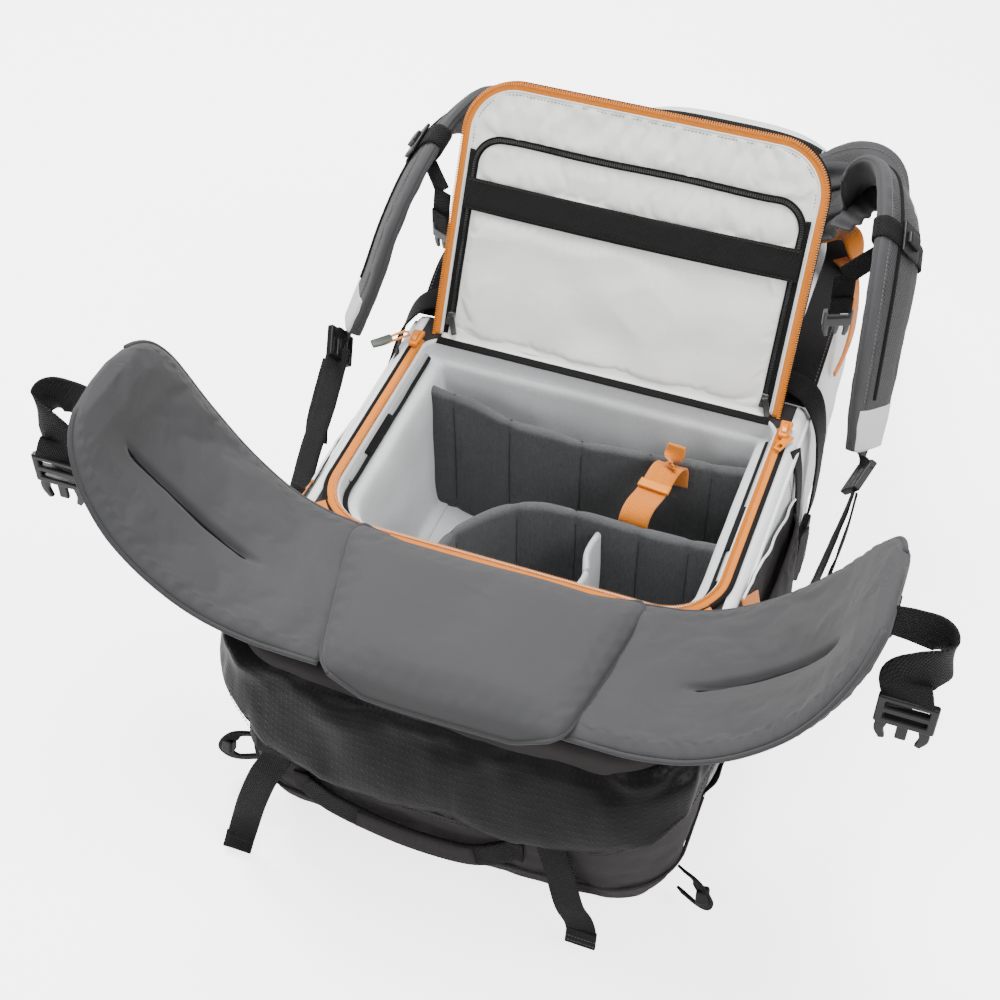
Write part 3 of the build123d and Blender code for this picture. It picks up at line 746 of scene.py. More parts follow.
def lid_zip():
    """Zip round the head-end lid, open along the front panel."""
    count = 90
    turn = np.linspace(-0.36, 0.36, count) * 2 * math.pi
    loop = superloop(140.5, 1.0, 240.5, 3.6, 400, 0.02)
    order = (turn / (2 * math.pi) * 400).astype(int) % 400
    path = np.array([(loop[k, 0], LID_SEAM - 5.5, loop[k, 1]) for k in order])
    path = path[path[:, 2] > 58]
    normals = unit((path - np.array([0, LID_SEAM - 5.5, 118])) * np.array([1, 0, 1.3]))
    rows = np.hstack([path, normals, np.full((len(path), 1), 11.0), np.full((len(path), 1), 1.6)])
    sweep("lid_zip_tape", rows, BINDING, "pack", count=140, replaces=("lid_zip",))
    teeth("lid_zip_teeth", path + normals * 0.8, normals, 0.0, 2.6, (1.5, 4.2, 2.0), BLACK_TEETH, "pack")
    spot = path[14]
    up = normals[14]
    block("lid_zip_slider", spot + up * 3.2, ((up[2], 0, -up[0]), (0, 1, 0)), (15, 9, 5), ENAMEL_BLACK,
          "pack", 1.2)
    along = np.array([up[2], 0, -up[0]])
    pull = [np.r_[spot + up * (5.2 - i * 0.7) + along * (4 + i * 9), up, 6.5 - i * 0.3, 2.4]
            for i in range(4)]
    sweep("lid_zip_pull", pull, PULL_TAB, "pack", count=20)


# Base: charcoal compartment, black coated cover, straps -------------------------------------------------

def foot_outline(half, end, radius, count, start=None):
    """Plan line round the foot end, from the right side to the left."""
    start = CAMERA_END if start is None else start
    arc = np.linspace(0, math.pi / 2, 14)
    right = [(half, start), (half, start - (start - end - radius) * 0.5)]
    right += [(half - radius + radius * math.cos(t), end + radius - radius * math.sin(t)) for t in arc]
    left = [(-x, y) for x, y in right[::-1]]
    bow = 5.0
    middle = [(x, end - bow * (1 - (x / (half - radius)) ** 2))
              for x in np.linspace(half - radius, radius - half, 15)[1:-1]]
    rows = np.array([(x, y, 0) for x, y in right + middle + left])
    return smooth(rows, count)


def outward(base):
    """Level normals of a foot outline, pointing away from the pack."""
    tangent = unit(np.gradient(base, axis=0))
    out = np.stack([tangent[:, 1], -tangent[:, 0], np.zeros(len(base))], 1)
    return -out if out[len(base) // 2, 1] > 0 else out


def base_skin():
    """Charcoal base compartment with its floor and seam."""
    count = 120
    profile = [(-64, 0.8), (-46, 4.5), (-30, 13), (-17, 26), (-8, 43), (-1.5, 66), (2, 95), (2.0, 125),
               (0.5, 160), (-2, 200), (-6, 232), (-16, 237)]
    profile = smooth([(a, b, 0) for a, b in profile], 46)
    base = foot_outline(190, -298, 60, count)
    out = outward(base)
    points = base[:, None] + out[:, None] * profile[None, :, :1]
    points[..., 2] = profile[None, :, 1]
    puffy = np.clip(np.sin((profile[:, 1] - 4) / 122 * math.pi), 0, 1)[None] ** 0.6
    folds = (wobble(points * np.array([1, 1, 2.1]), 30, 3.2, 4.0)
             + wobble(points * np.array([0.5, 1, 1.5]), 15, 1.0, 8.0))
    points = points + out[:, None] * (folds * puffy)[..., None]
    points[..., 2] = np.maximum(points[..., 2], 0.6)
    points[..., 1] = np.maximum(points[..., 1], FOOT_Y - 6)
    surface("base_skin", points, CHARCOAL, "pack", 3.0, replaces=("base_compartment",))
    bottom = points[:, 0]
    rings = [[(x * s, CAMERA_END - 4 + (y - CAMERA_END + 4) * s, 0.9) for x, y, _ in bottom]
             for s in (1, 0.7, 0.4, 0.05)]
    surface("base_floor", np.array(rings), CHARCOAL, "pack", -2.0)
    seam = smooth(base + out * 0.6 + np.array([0, 0, 66.0]), count)
    seam[:, 2] += 3 * np.sin(np.linspace(0, 9, count))
    tube("base_seam", seam[8:-8], 1.6, CHARCOAL, "pack", 8)
    stitches("base_seam_stitches", (seam + out * 1.0 + np.array([0, 0, 3.6]))[8:-8], out[8:-8], THREAD_DARK,
             "pack",
             3.6)


def cover_hem(x):
    """Height of the black cover's lower hem across the pack: lowest in the middle, rising at the corners."""
    share = np.abs(np.asarray(x, float)) / 196
    return 124 + 16 * share**2 + 62 * np.clip(share - 0.66, 0, 1) ** 1.3 * 3.2


def cover_skin():
    """Coated black cover over the top of the base compartment."""
    nu, nv = 150, 40
    base = foot_outline(193, -301, 58, nu, CAMERA_END - 34)
    out = outward(base)
    hem = cover_hem(base[:, 0] + np.sign(base[:, 0]) * np.clip(base[:, 1] + 270, 0, 60) * 0.9)
    profile = smooth([(-66, 1.005, 0), (-40, 1.0, 0), (-14, 0.99, 0), (2, 0.9, 0), (11, 0.72, 0),
                      (15, 0.5, 0),
                      (15.5, 0.28, 0), (12, 0.08, 0), (7, -0.01, 0), (-3, -0.03, 0)], nv)
    points = base[:, None] + out[:, None] * profile[None, :, :1]
    span = (BACK_Z - 1 - hem)[:, None]
    points[..., 2] = hem[:, None] + span * profile[None, :, 1]
    loose = np.clip(np.sin(np.clip(profile[:, 1], 0, 1) * math.pi), 0, 1)[None] ** 0.5
    edge = np.minimum(np.arange(nu), np.arange(nu)[::-1])[:, None] / 12
    loose = loose * np.clip(edge, 0, 1)
    long_folds = wobble(points * np.array([0.45, 0.8, 1.9]), 26, 9.0, 21.0)
    short_folds = wobble(points * np.array([0.7, 1, 1.3]), 15, 3.0, 31.0)
    points = points + out[:, None] * ((long_folds + short_folds) * loose)[..., None]
    points[..., 2] -= (loose * 3.5 * (wobble(points, 60, 1.0, 12.0) + 0.5))
    points[..., 1] = np.maximum(points[..., 1], FOOT_Y - 17)
    obj = surface("base_cover_skin", points, COATED, "pack", replaces=("base_cover",))
    pins = np.zeros((nu, nv), bool)
    pins[:, :12] = True
    pins[:, -4:] = True
    pins[:4] = pins[-4:] = True
    relax(obj, pins.ravel(), 26, pressure=1.0, excess=0.09, cap=10, gravity=0.8, bending=0.05, stiffness=6)
    thicken(obj, 1.6)
    subdivide(obj)
    line = points[:, -3] + out * 1.2
    tube("base_cover_hem", line, 2.2, BINDING, "pack", 8)
    stitches("base_cover_stitches", points[:, -6] + out * 0.4, out, THREAD_DARK, "pack", 3.4)


def base_straps():
    """Two straps that hang from the cover to the floor."""
    for side, x0, x1 in (("left", -140, -176), ("right", 98, 130)):
        top = corner(f"base_strap_{side}", 1)[2]
        short = 1.0 if x0 > 0 else 0.0
        rows = [
            (x0, -304, top + 14, 0, -1, 0.2, 25, 2.0),
            (x0, -306, top - 6, 0, -1, 0.2, 25, 2.0),
            (x0 + (x1 - x0) * 0.30, -313, 96, 0, -1, 0.15, 25, 2.0),
            (x0 + (x1 - x0) * 0.62, -318, 62, 0.05, -1, 0.1, 25, 2.0),
            (x0 + (x1 - x0) * 0.88, -320 + 3 * short, 28 + 14 * short, 0.05, -1, 0.2, 25, 2.0),
            (x1, -326 + 8 * short, 8 + 18 * short, 0, -1, 0.5, 25, 2.0),
            (x1, -333 + 14 * short, 2.6 + 10 * short, 0, -0.7 - 0.3 * short, 0.7, 25, 2.0),
        ]
        sweep(f"base_strap_web_{side}", rows, WEBBING, "pack", count=70,
              replaces=(f"base_strap_{side}",))
        fold = [(x1, -323 + 5 * short, 13 + 18 * short, 0, -1, 0.4, 26, 3.0),
                (x1, -328 + 9 * short, 7.5 + 14 * short, 0, -1, 0.5, 26, 3.4),
                (x1, -333.5 + 13 * short, 3.4 + 9 * short, 0, -0.7 - 0.3 * short, 0.7, 26, 3.4)]
        sweep(f"base_strap_end_{side}", fold, WEBBING, "pack", count=12)
        for k in range(3):
            row = np.array([(x1 - 12 + i * 2.0, -327 - k * 2.3 + 8 * short, 10.3 - k * 2.6 + 15 * short)
                            for i in range(13)])
            stitches(f"base_strap_stitch_{side}_{k}", row, [(0, -0.8, 0.6)] * 13, THREAD_GREY, "pack",
                     2.4, (1.5, 0.5, 0.5))
        anchor = [(x0, -303.5, top + 22, 0, -1, 0.15, 31, 3.4), (x0, -306.5, top + 2, 0, -1, 0.15, 31, 3.6)]
        sweep(f"base_strap_anchor_{side}", anchor, BINDING, "pack", count=8, curve=False)


def carry_handle():
    """Webbing handle on the base, with a wrapped grip."""
    low, high = corner("carry_handle", 0), corner("carry_handle", 1)
    rows = [
        (low[0] + 4, -303, 97, 0, -1, 0.1, 20, 3.0),
        (low[0] + 16, -307, 93, 0, -1, 0.1, 22, 3.2),
        (-84, -311, 86, 0, -1, 0.1, 23, 3.2),
        (-30, -314, 79, 0, -1, 0.1, 23, 3.2),
        (20, -314, 80, 0, -1, 0.1, 23, 3.2),
        (46, -311, 86, 0, -1, 0.1, 22, 3.2),
        (high[0] - 6, -303, 96, 0, -1, 0.1, 20, 3.0),
    ]
    sweep("carry_handle_web", rows, WEBBING, "handle", count=70, replaces=("carry_handle",))
    grip = [(x, -314.5, z, 0, -1, 0.1, 19, 5.4)
            for x, z in ((-66, 84), (-30, 79.5), (-5, 79), (20, 80.5), (36, 84))]
    sweep("carry_handle_grip", grip, STRETCH, "handle", pad_section(), 30)
    for name, x, z in (("left", low[0] + 6, 96), ("right", high[0] - 8, 95)):
        tack = [(x - 7, -304.5, z, 0, -1, 0, 25, 2.4), (x + 7, -305.5, z, 0, -1, 0, 25, 2.4)]
        sweep(f"handle_tack_{name}", tack, BINDING, "pack", count=6, curve=False)


def gear_loops():
    """Loops with cord locks at the two lower corners."""
    for sign, side in SIDES:
        rows = [(192, -249, 54), (206, -260, 60), (218, -263, 42), (212, -257, 22), (192, -245, 16)]
        rows = mirrored(rows, sign, sign * 0.2, 1, 0.3, 12, 2.4)
        replaced = ("gear_loops",) if sign < 0 else ()
        sweep(f"gear_loop_web_{side}", rows, WEBBING, "pack", count=40, replaces=replaced)
        toggle = [sign * 214, -262, 46]
        block(f"cord_lock_{side}", toggle, ((sign, 0.2, 0), (0, 0.2, 1)), (11, 15, 10), PLASTIC, "pack",
              2.5)


# Mouth, camera box and dividers ----------------------------------------------------------------------

def mouth_loop(inset, count=200, closed=True):
    """Plan of the zipped mouth, inset toward its middle, starting at the right hinge corner."""
    half = MOUTH_HALF - inset
    near = MOUTH_NEAR + inset
    far = HINGE_Y - inset * 0.3
    radius = max(48 - inset, 14)
    small = max(12 - inset, 3)
    arc = np.linspace(0, math.pi / 2, 12)
    right = [(half, far - small)]
    right += [(half, y) for y in np.linspace(far - 24, near + radius + 10, 8)]
    right += [(half - radius + radius * math.cos(t), near + radius - radius * math.sin(t)) for t in arc]
    bottom = [(x, near) for x in np.linspace(half - radius - 12, radius + 12 - half, 8)]
    left = [(-x, y) for x, y in right[::-1]]
    rows = right + bottom + left
    if closed:
        top = [(-half + small, far)] + [(x, far) for x in np.linspace(-half + 24, half - 24, 8)]
        rows = rows + top + [(half - small, far), (half, far - small)]
    line = smooth([(x, y, 0) for x, y in rows], count + 1 if closed else count)
    return line[:-1] if closed else line


def body_zip():
    """Orange zip round the mouth, with its tape, teeth and welt."""
    path = mouth_loop(-2.6, 240, False)
    path[:, 2] = BACK_Z + 2.0 + wobble(path, 40, 0.5)
    up = np.tile([0, 0, 1.0], (len(path), 1))
    rows = np.hstack([path, up, np.full((len(path), 1), 6.0), np.full((len(path), 1), 1.6)])
    sweep("body_zip_tape", rows, ORANGE_TAPE, "pack", count=320, replaces=("body_zip",))
    inner = mouth_loop(1.0, 240, False)
    inner[:, 2] = BACK_Z + 2.6
    teeth("body_zip_teeth", inner, up, 0.0, 2.1, (1.2, 3.2, 1.8), ORANGE_TEETH, "pack")
    welt = mouth_loop(-7.6, 240, False)
    welt[:, 2] = BACK_Z + 1.4
    tube("body_zip_welt", welt, 2.0, BINDING, "pack", 8, 300)
    for sign, side in SIDES:
        x = sign * (MOUTH_HALF - 10)
        fold = [(x, MOUTH_NEAR + 14, BACK_Z + 1, sign * -0.3, 0.3, 1, 15, 1.6),
                (x + sign * 9, MOUTH_NEAR - 1, BACK_Z + 4.5, 0, -0.2, 1, 17, 1.8),
                (x + sign * 14, MOUTH_NEAR - 9, BACK_Z + 1.5, 0.2 * sign, -0.8, 0.6, 14, 1.6)]
        sweep(f"zip_corner_fold_{side}", fold, ORANGE_TAPE, "pack", count=16)


def harness_plate():
    """Panel round the mouth, under the lumbar pad and the hip wings."""
    inner = mouth_loop(-6, 200)
    outer = inner.copy()
    near = outer[:, 1] < HINGE_Y - 8
    outer[:, 0] = np.clip(inner[:, 0] * 1.2, -SIDE_TOP + 3, SIDE_TOP - 3)
    foot = inner[:, 1] < MOUTH_NEAR + 44
    outer[foot, 1] = -284 + 18 * (np.abs(outer[foot, 0]) / SIDE_TOP) ** 4
    outer[~near, 1] = UPPER_START + 6
    rings = [inner * (1 - s) + outer * s for s in (0, 0.25, 0.5, 0.75, 1)]
    points = np.array(rings)
    points[..., 2] = BACK_Z - 0.8 + np.array([0.6, 0.3, 0.1, 0, -1.5])[:, None]
    surface("harness_plate", points, CHARCOAL, "pack", 6.0, wrap_v=True,
            replaces=("harness_panel",))


def box_lining():
    """Padded lining of the camera box."""
    count = 220
    stages = [(1.5, BACK_Z + 0.6), (2.2, BACK_Z - 6), (3.0, BACK_Z - 14), (6.0, BACK_Z - 18.5),
              (10.5, BOX_TOP - 4),
              (14.5, BOX_TOP - 3), (17.5, BOX_TOP - 9), (18.5, BOX_TOP - 24), (18.5, 170), (18.8, 120),
              (19.5, 84), (23, BOX_FLOOR + 1.5), (34, BOX_FLOOR + 0.3)]
    loops = []
    for inset, z in stages:
        loop = mouth_loop(min(inset, 17.0), count)
        extra = max(0.0, inset - 17.0)
        loop[:, 0] -= np.sign(loop[:, 0]) * extra * (np.abs(loop[:, 0]) > 100)
        low_pull = np.clip((inset - 6) / 8, 0, 1)
        loop[:, 1] -= np.where(loop[:, 1] > HINGE_Y - 20, low_pull * 2.0, 0)
        loop[:, 2] = z
        loops.append(loop)
    points = np.array(loops)
    fine = np.array([smooth(points[:, k], 44) for k in range(count)]).transpose(1, 0, 2)
    inward = unit(-(fine - np.array([0, -25, 0])) * np.array([1, 1, 0]))
    depth = np.linspace(0, 1, 44)[:, None]
    rumple = wobble(fine * np.array([1, 1, 0.6]), 34, 3.0, 6.0)
    rumple = rumple * np.clip(depth * 4 - 0.3, 0, 1) * np.clip(3.6 - depth * 4, 0, 1)
    fine = fine + inward * rumple[..., None]
    surface("box_lining_walls", fine, LINING, "pack", 2.4, wrap_v=True,
            replaces=("camera_box",))
    x, y = np.meshgrid(np.linspace(-151, 151, 60), np.linspace(-129, 91, 44), indexing="ij")
    floor = np.stack([x, y, np.full_like(x, BOX_FLOOR + 0.9)], -1)
    floor[..., 2] += wobble(floor, 45, 0.7, 9.0)
    surface("box_lining_floor", floor, LINING, "pack")
    piping = mouth_loop(8.5, 240)
    piping = piping[(piping[:, 1] < HINGE_Y - 12)]
    piping[:, 2] = BOX_TOP + 3.2 + wobble(piping, 40, 1.2, 3)
    tube("box_piping", piping, 2.3, BINDING, "pack", 8, 260)


def frame_rails():
    """Alloy finish for the CAD rails, and a sleeve on each."""
    for side in ("left", "right"):
        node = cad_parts[f"frame_rail_{side}"]
        node.data.materials.clear()
        node.data.materials.append(ALLOY)
        x, _, z = middle(f"frame_rail_{side}")
        sleeve = [(x, y, z + 0.2) for y in np.linspace(-58, -6, 12)]
        tube(f"rail_sleeve_{side}", sleeve, 5.4, BINDING, "pack", 16)


def divider(name, route, low, high, thick, material, wave=3.0, seed=1.0, seams=()):
    """Padded divider with a rounded, slightly wavy top."""
    path = smooth([(x, y, (low + high) / 2) for x, y in route], 90)
    tangent = unit(np.gradient(path, axis=0))
    out = np.stack([-tangent[:, 1], tangent[:, 0], np.zeros(len(path))], 1)
    arc = np.linspace(0, math.pi, 11)
    section = [(-thick / 2, t) for t in np.linspace(0.0, 0.95, 22)]
    section += [(-math.cos(t) * thick / 2, 0.965 + 0.035 * math.sin(t)) for t in arc]
    section += [(thick / 2, t) for t in np.linspace(0.95, 0.0, 22)]
    section = np.array(section)
    top = high + wobble(path * np.array([1, 1, 0]), 60, wave, seed)
    points = path[:, None] + out[:, None] * section[None, :, :1]
    points[..., 2] = low + section[None, :, 1] * (top - low)[:, None]
    soft = wobble(points * np.array([1, 1, 0.6]), 36, 2.6, seed) * np.clip(section[:, 1], 0.2, 1)[None]
    points = points + out[:, None] * soft[..., None]
    for share in seams:
        k = int(share * 89)
        dent = np.exp(-((np.arange(90) - k) / 1.3) ** 2)[:, None] * 1.6
        points = points - out[:, None] * (np.sign(section[None, :, 0]) * dent)[..., None]
    obj = surface(name, points, material, "pack", wrap_v=True, replaces=(name.replace("_body", ""),),
                  caps=True)
    for number, share in enumerate(seams):
        k = int(share * 89)
        for face in (-1, 1):
            line = np.array([points[k, j] for j in (range(2, 21) if face < 0 else range(34, 53))])
            stitches(f"{name}_seam_{number}_{'front' if face > 0 else 'back'}", line + out[k] * face * 0.4,
                     [out[k] * face] * len(line),
                     THREAD_DARK, "pack", 3.0, (2.0, 0.7, 0.6))
    return points


def dividers():
    """Three dividers of the camera box and their orange strap."""
    floor = BOX_FLOOR + 0.8
    rear = [(-151, 60), (-112, 55), (-72, 44), (-36, 38), (20, 39), (80, 46), (151, 55)]
    front = [(-72, -134), (-68, -105), (-56, -78), (-38, -57), (-14, -43), (12, -37), (80, -36), (151, -37)]
    small = [(47, -43), (44, -66), (50, -92), (47, -114), (52, -133)]
    divider("divider_rear_body", rear, floor, 214, 10.5, FELT, 4.0, 2.0,
            (0.1, 0.3, 0.52, 0.72, 0.9))
    divider("divider_front_body", front, floor, 207, 10.5, FELT, 4.0, 7.0,
            (0.14, 0.36, 0.56, 0.76, 0.92))
    divider("divider_small_body", small, floor, 196, 6, FELT_SILVER, 7.0, 11.0, (0.5,))
    strap = [(89, 39, 190, 0, 1, 0.1, 26, 2.2), (88, 38.5, 212, 0, 0.8, 0.6, 26, 2.2),
             (84, 26, 219, 0, 0.1, 1, 26, 2.2), (79, 4, 212, 0, 0, 1, 26, 2.2),
             (75, -18, 214, 0, -0.1, 1, 26, 2.2), (73, -29, 207, 0, -0.8, 0.6, 26, 2.2),
             (72, -30, 190, 0, -1, 0.1, 26, 2.2)]
    sweep("divider_strap_web", strap, ORANGE_WEB, "pack", count=50,
          replaces=("divider_strap",))
    tab = [(86, 28, 220, 0, 0.6, 1, 18, 3.0), (88, 36, 229, 0, 0.9, 0.5, 18, 3.0),
           (89, 39, 238, 0, 1, 0.2, 16, 3.0)]
    sweep("divider_strap_tab", tab, ORANGE_WEB, "pack", count=16)
    keeper = [(66, 8, 215.5, 0, 0, 1, 9, 2.6), (80, 6, 216, 0, 0, 1, 9, 2.6), (94, 5, 215.5, 0, 0, 1, 9, 2.6)]
    sweep("divider_strap_keeper", keeper, ORANGE_TEETH, "pack", count=14)


# Flap, opened --------------------------------------------------------------------------------------

def on_flap(x, v, h):
    """Point of the opened flap from its closed plan: v along it from the hinge, h out from the face."""
    x, v, h = np.broadcast_arrays(np.asarray(x, float), np.asarray(v, float), np.asarray(h, float))
    return np.stack([x, HINGE_Y + math.cos(FLAP_ANGLE) * v + math.sin(FLAP_ANGLE) * h,
                     BACK_Z + math.sin(FLAP_ANGLE) * v - math.cos(FLAP_ANGLE) * h], -1)


FLAP_OUT = np.array([0, math.sin(FLAP_ANGLE), -math.cos(FLAP_ANGLE)])
FLAP_IN = -FLAP_OUT


def flap_line(inset, start, count=200, radius=48.0):
    """U-shaped line inside the flap's edge, from the left hinge end to the right one, as x and v."""
    half, top, turn = FLAP_HALF - inset, FLAP_LENGTH - inset, max(radius - inset, 8)
    arc = np.linspace(0, math.pi / 2, 14)
    rows = [(-half, v) for v in np.linspace(start, top - turn - 8, 9)]
    rows += [(-half + turn - turn * math.cos(t), top - turn + turn * math.sin(t)) for t in arc]
    rows += [(x, top) for x in np.linspace(-half + turn + 12, half - turn - 12, 9)]
    rows += [(-x, v) for x, v in rows[::-1] if x < -half + turn + 0.001]
    return smooth([(x, v, 0) for x, v in rows], count)[:, :2]


def keep_in_front(obj, limit):
    """Fold any cloth that has passed behind the flap's board back to its inner side."""
    co = np.array([v.co for v in obj.data.vertices]) / MM
    h = (co[:, 1] - HINGE_Y) * FLAP_OUT[1] + (co[:, 2] - BACK_Z) * FLAP_OUT[2]
    inside = limit - np.sqrt((limit - h) ** 2 + 0.3)
    co = co + FLAP_OUT * (inside - h)[:, None]
    obj.data.vertices.foreach_set("co", (co * MM).astype(np.float32).ravel())
    obj.data.update()


def flap_satin():
    """Gathered satin on the inner side of the flap, with the zipped pocket's outline kept flat."""
    nu, nv = 120, 96
    half, top, turn = FLAP_HALF - 6.4, FLAP_LENGTH - 6.0, 42.0
    share = np.linspace(0, 1, nv)
    v = 4.5 + (top - 4.5) * share
    over = np.clip(v - (top - turn), 0, turn)
    width = half - turn + np.sqrt(np.maximum(turn**2 - over**2, 0))
    u = np.linspace(-1, 1, nu)
    x = u[:, None] * width[None]
    vv = np.tile(v, (nu, 1))
    edge = np.minimum(np.minimum(top - vv, (width[None] - np.abs(x))), 60)
    near_top = np.exp(-np.clip(top - vv, 0, None) / 30)
    h = 6.2 - 0.9 * np.clip(edge / 12, 0, 1)
    flat = on_flap(x, vv, 0 * x)
    beside = np.where(vv < 190, np.abs(np.abs(x) - (FLAP_HALF - 15.5)), 99)
    above = np.where(np.abs(x) < FLAP_HALF - 15, np.abs(vv - 188.5), 99)
    calm = np.clip((np.minimum(beside, above) - 4) / 12, 0, 1)
    h = h + calm * wobble(flat, 46, 4.6, 3.0) * np.clip(edge / 18, 0, 1)
    rumple = calm * wobble(flat * np.array([2.6, 1.0, 1.0]), 26, 4.2, 8.0)
    h = h + rumple * near_top * np.clip(edge / 7, 0.1, 1)
    gather = 1.5 * np.sin(x / 3.1 + 2.5 * np.sin(x / 19)) * np.exp(-np.clip(top - vv, 0, None) / 14)
    h = h + gather * np.clip(edge / 4, 0, 1)
    h = np.clip(h, 2.4, 6.6)
    points = on_flap(x, vv, h)
    obj = surface("flap_satin", points, SATIN, "flap", replaces=("flap_lining",))
    pocket_sides = (np.abs(np.abs(x) - (FLAP_HALF - 15.5)) < 2.4) & (vv < 190)
    pocket_end = (np.abs(vv - 188.5) < 2.0) & (np.abs(x) < 140)
    pins = (edge < 2.5) | pocket_sides | pocket_end | (vv < 7) | (np.abs(vv - 137) < 12)
    relax(obj, pins.ravel(), 26, excess=0.035, cap=4.5, gravity=0.3, bending=0.04, stiffness=8)
    keep_in_front(obj, 6.4)
    subdivide(obj)
    thicken(obj, 0.8)
    back = on_flap(x[::4, ::4], vv[::4, ::4], 7.0 + 0 * x[::4, ::4])
    surface("flap_backing", back, PAD_DARK, "flap", 1.0)


def flap_strip(name, plan, h, width, thick, material, count=260, replaces=(), wave=0.0):
    """Tape along a line of the flap's plan, h in front of the harness face."""
    points = on_flap(plan[:, 0], plan[:, 1], h)
    points = points + FLAP_IN * wobble(points, 22, wave, 2.0)[:, None]
    normals = np.tile(FLAP_IN, (len(points), 1))
    rows = np.hstack([points, normals, np.full((len(points), 1), width), np.full((len(points), 1), thick)])
    return sweep(name, rows, material, "flap", count=count, replaces=replaces)


def flap_zips():
    """Orange zip round the flap, black pocket zip inside it and their sliders."""
    plan = flap_line(3.6, 3.0, 260)
    flap_strip("flap_zip_tape", plan, 4.9, 6.4, 1.4, ORANGE_TAPE, replaces=("flap_zip",))
    outer = flap_line(0.6, 3.0, 260)
    points = on_flap(outer[:, 0], outer[:, 1], 4.6)
    teeth("flap_zip_teeth", points, np.tile(FLAP_IN, (len(points), 1)), 0.0, 2.1, (1.2, 3.4, 2.0),
          ORANGE_TEETH, "flap")
    welt = flap_line(7.2, 4.0, 240)
    line = on_flap(welt[:, 0], welt[:, 1], 4.8)
    tube("flap_zip_welt", line, 1.0, SATIN, "flap", 8)
    trim = flap_line(10.5, 5.0, 220)
    line = on_flap(trim[:, 0], trim[:, 1], 4.9)
    stitches("flap_trim_stitches", line, np.tile(FLAP_IN, (len(line), 1)), THREAD_GREY, "flap",
             3.2)
    for sign, side in SIDES:
        tape = np.array([(sign * (FLAP_HALF - 11.8), v) for v in np.linspace(4, 176, 40)])
        flap_strip(f"flap_side_tape_{side}", tape, 3.9, 4.6, 1.2, BINDING, 60)
    half, top = FLAP_HALF - 15.5, 188.5
    arc = np.linspace(0, math.pi / 2, 10)
    turn = 24
    rows = [(-half, v) for v in np.linspace(16, top - turn - 8, 9)]
    rows += [(-half + turn - turn * math.cos(t), top - turn + turn * math.sin(t)) for t in arc]
    rows += [(x, top + 0.5 * math.sin(x / 23)) for x in np.linspace(-half + turn + 12, half - turn - 12, 13)]
    rows += [(-x, v) for x, v in rows[::-1] if x < -half + turn + 0.001]
    pocket = smooth([(x, v, 0) for x, v in rows], 300)[:, :2]
    flap_strip("pocket_zip_tape", pocket, 3.9, 6.6, 1.2, BINDING, 320, ("flap_pocket_zip",),
               wave=0.8)
    points = on_flap(pocket[:, 0], pocket[:, 1], 3.0)
    points = points + FLAP_IN * wobble(points, 22, 0.8, 2.0)[:, None]
    teeth("pocket_zip_teeth", points, np.tile(FLAP_IN, (len(points), 1)), 0.0, 2.0, (1.3, 3.0, 1.6),
          BLACK_TEETH, "flap")
    for name, x, v, way in (("left", -half, 21, 1), ("right", half, 16, 1)):
        body = "pocket_slider" if name == "left" else "flap"
        centre = on_flap(x, v, 1.8)
        along = np.array([0, math.cos(FLAP_ANGLE), math.sin(FLAP_ANGLE)])
        replaced = ("pocket_zip_slider",) if name == "left" else ()
        block(f"pocket_slider_{name}", centre, (along, (1, 0, 0)), (13, 8.5, 3.4), ENAMEL_BLACK, body,
              1.2, replaced, taper=0.7)
        pull = [np.r_[on_flap(x + t * 0.35, v + 3 - t * way, 0.2 + 0.3 * math.sin(t / 5)), FLAP_IN,
                      6.0 - t * 0.08, 1.7] for t in (0, 5, 11, 17)]
        sweep(f"pocket_pull_{name}", pull, ENAMEL_BLACK, body, count=18)


def flap_band():
    """Wide webbing band across the flap."""
    rows = []
    for share in np.linspace(-1, 1, 13):
        x = share * (FLAP_HALF - 11.2)
        centre = on_flap(x, 137.5 - 1.5 * (1 - share**2), 2.0 - 0.5 * (1 - share**2))
        rows.append(np.r_[centre, FLAP_IN, 28.5, 1.7])
    sweep("flap_band", rows, WEBBING, "flap", count=90, replaces=("flap_webbing",),
          ripple=0.35)
    for edge in (-1, 1):
        line = np.array([on_flap(x, 137 + edge * 12.2, 0.95) for x in np.linspace(-148, 148, 50)])
        stitches(f"flap_band_stitches_{'low' if edge < 0 else 'high'}", line, [FLAP_IN] * 50, THREAD_DARK,
                 "flap", 3.4)


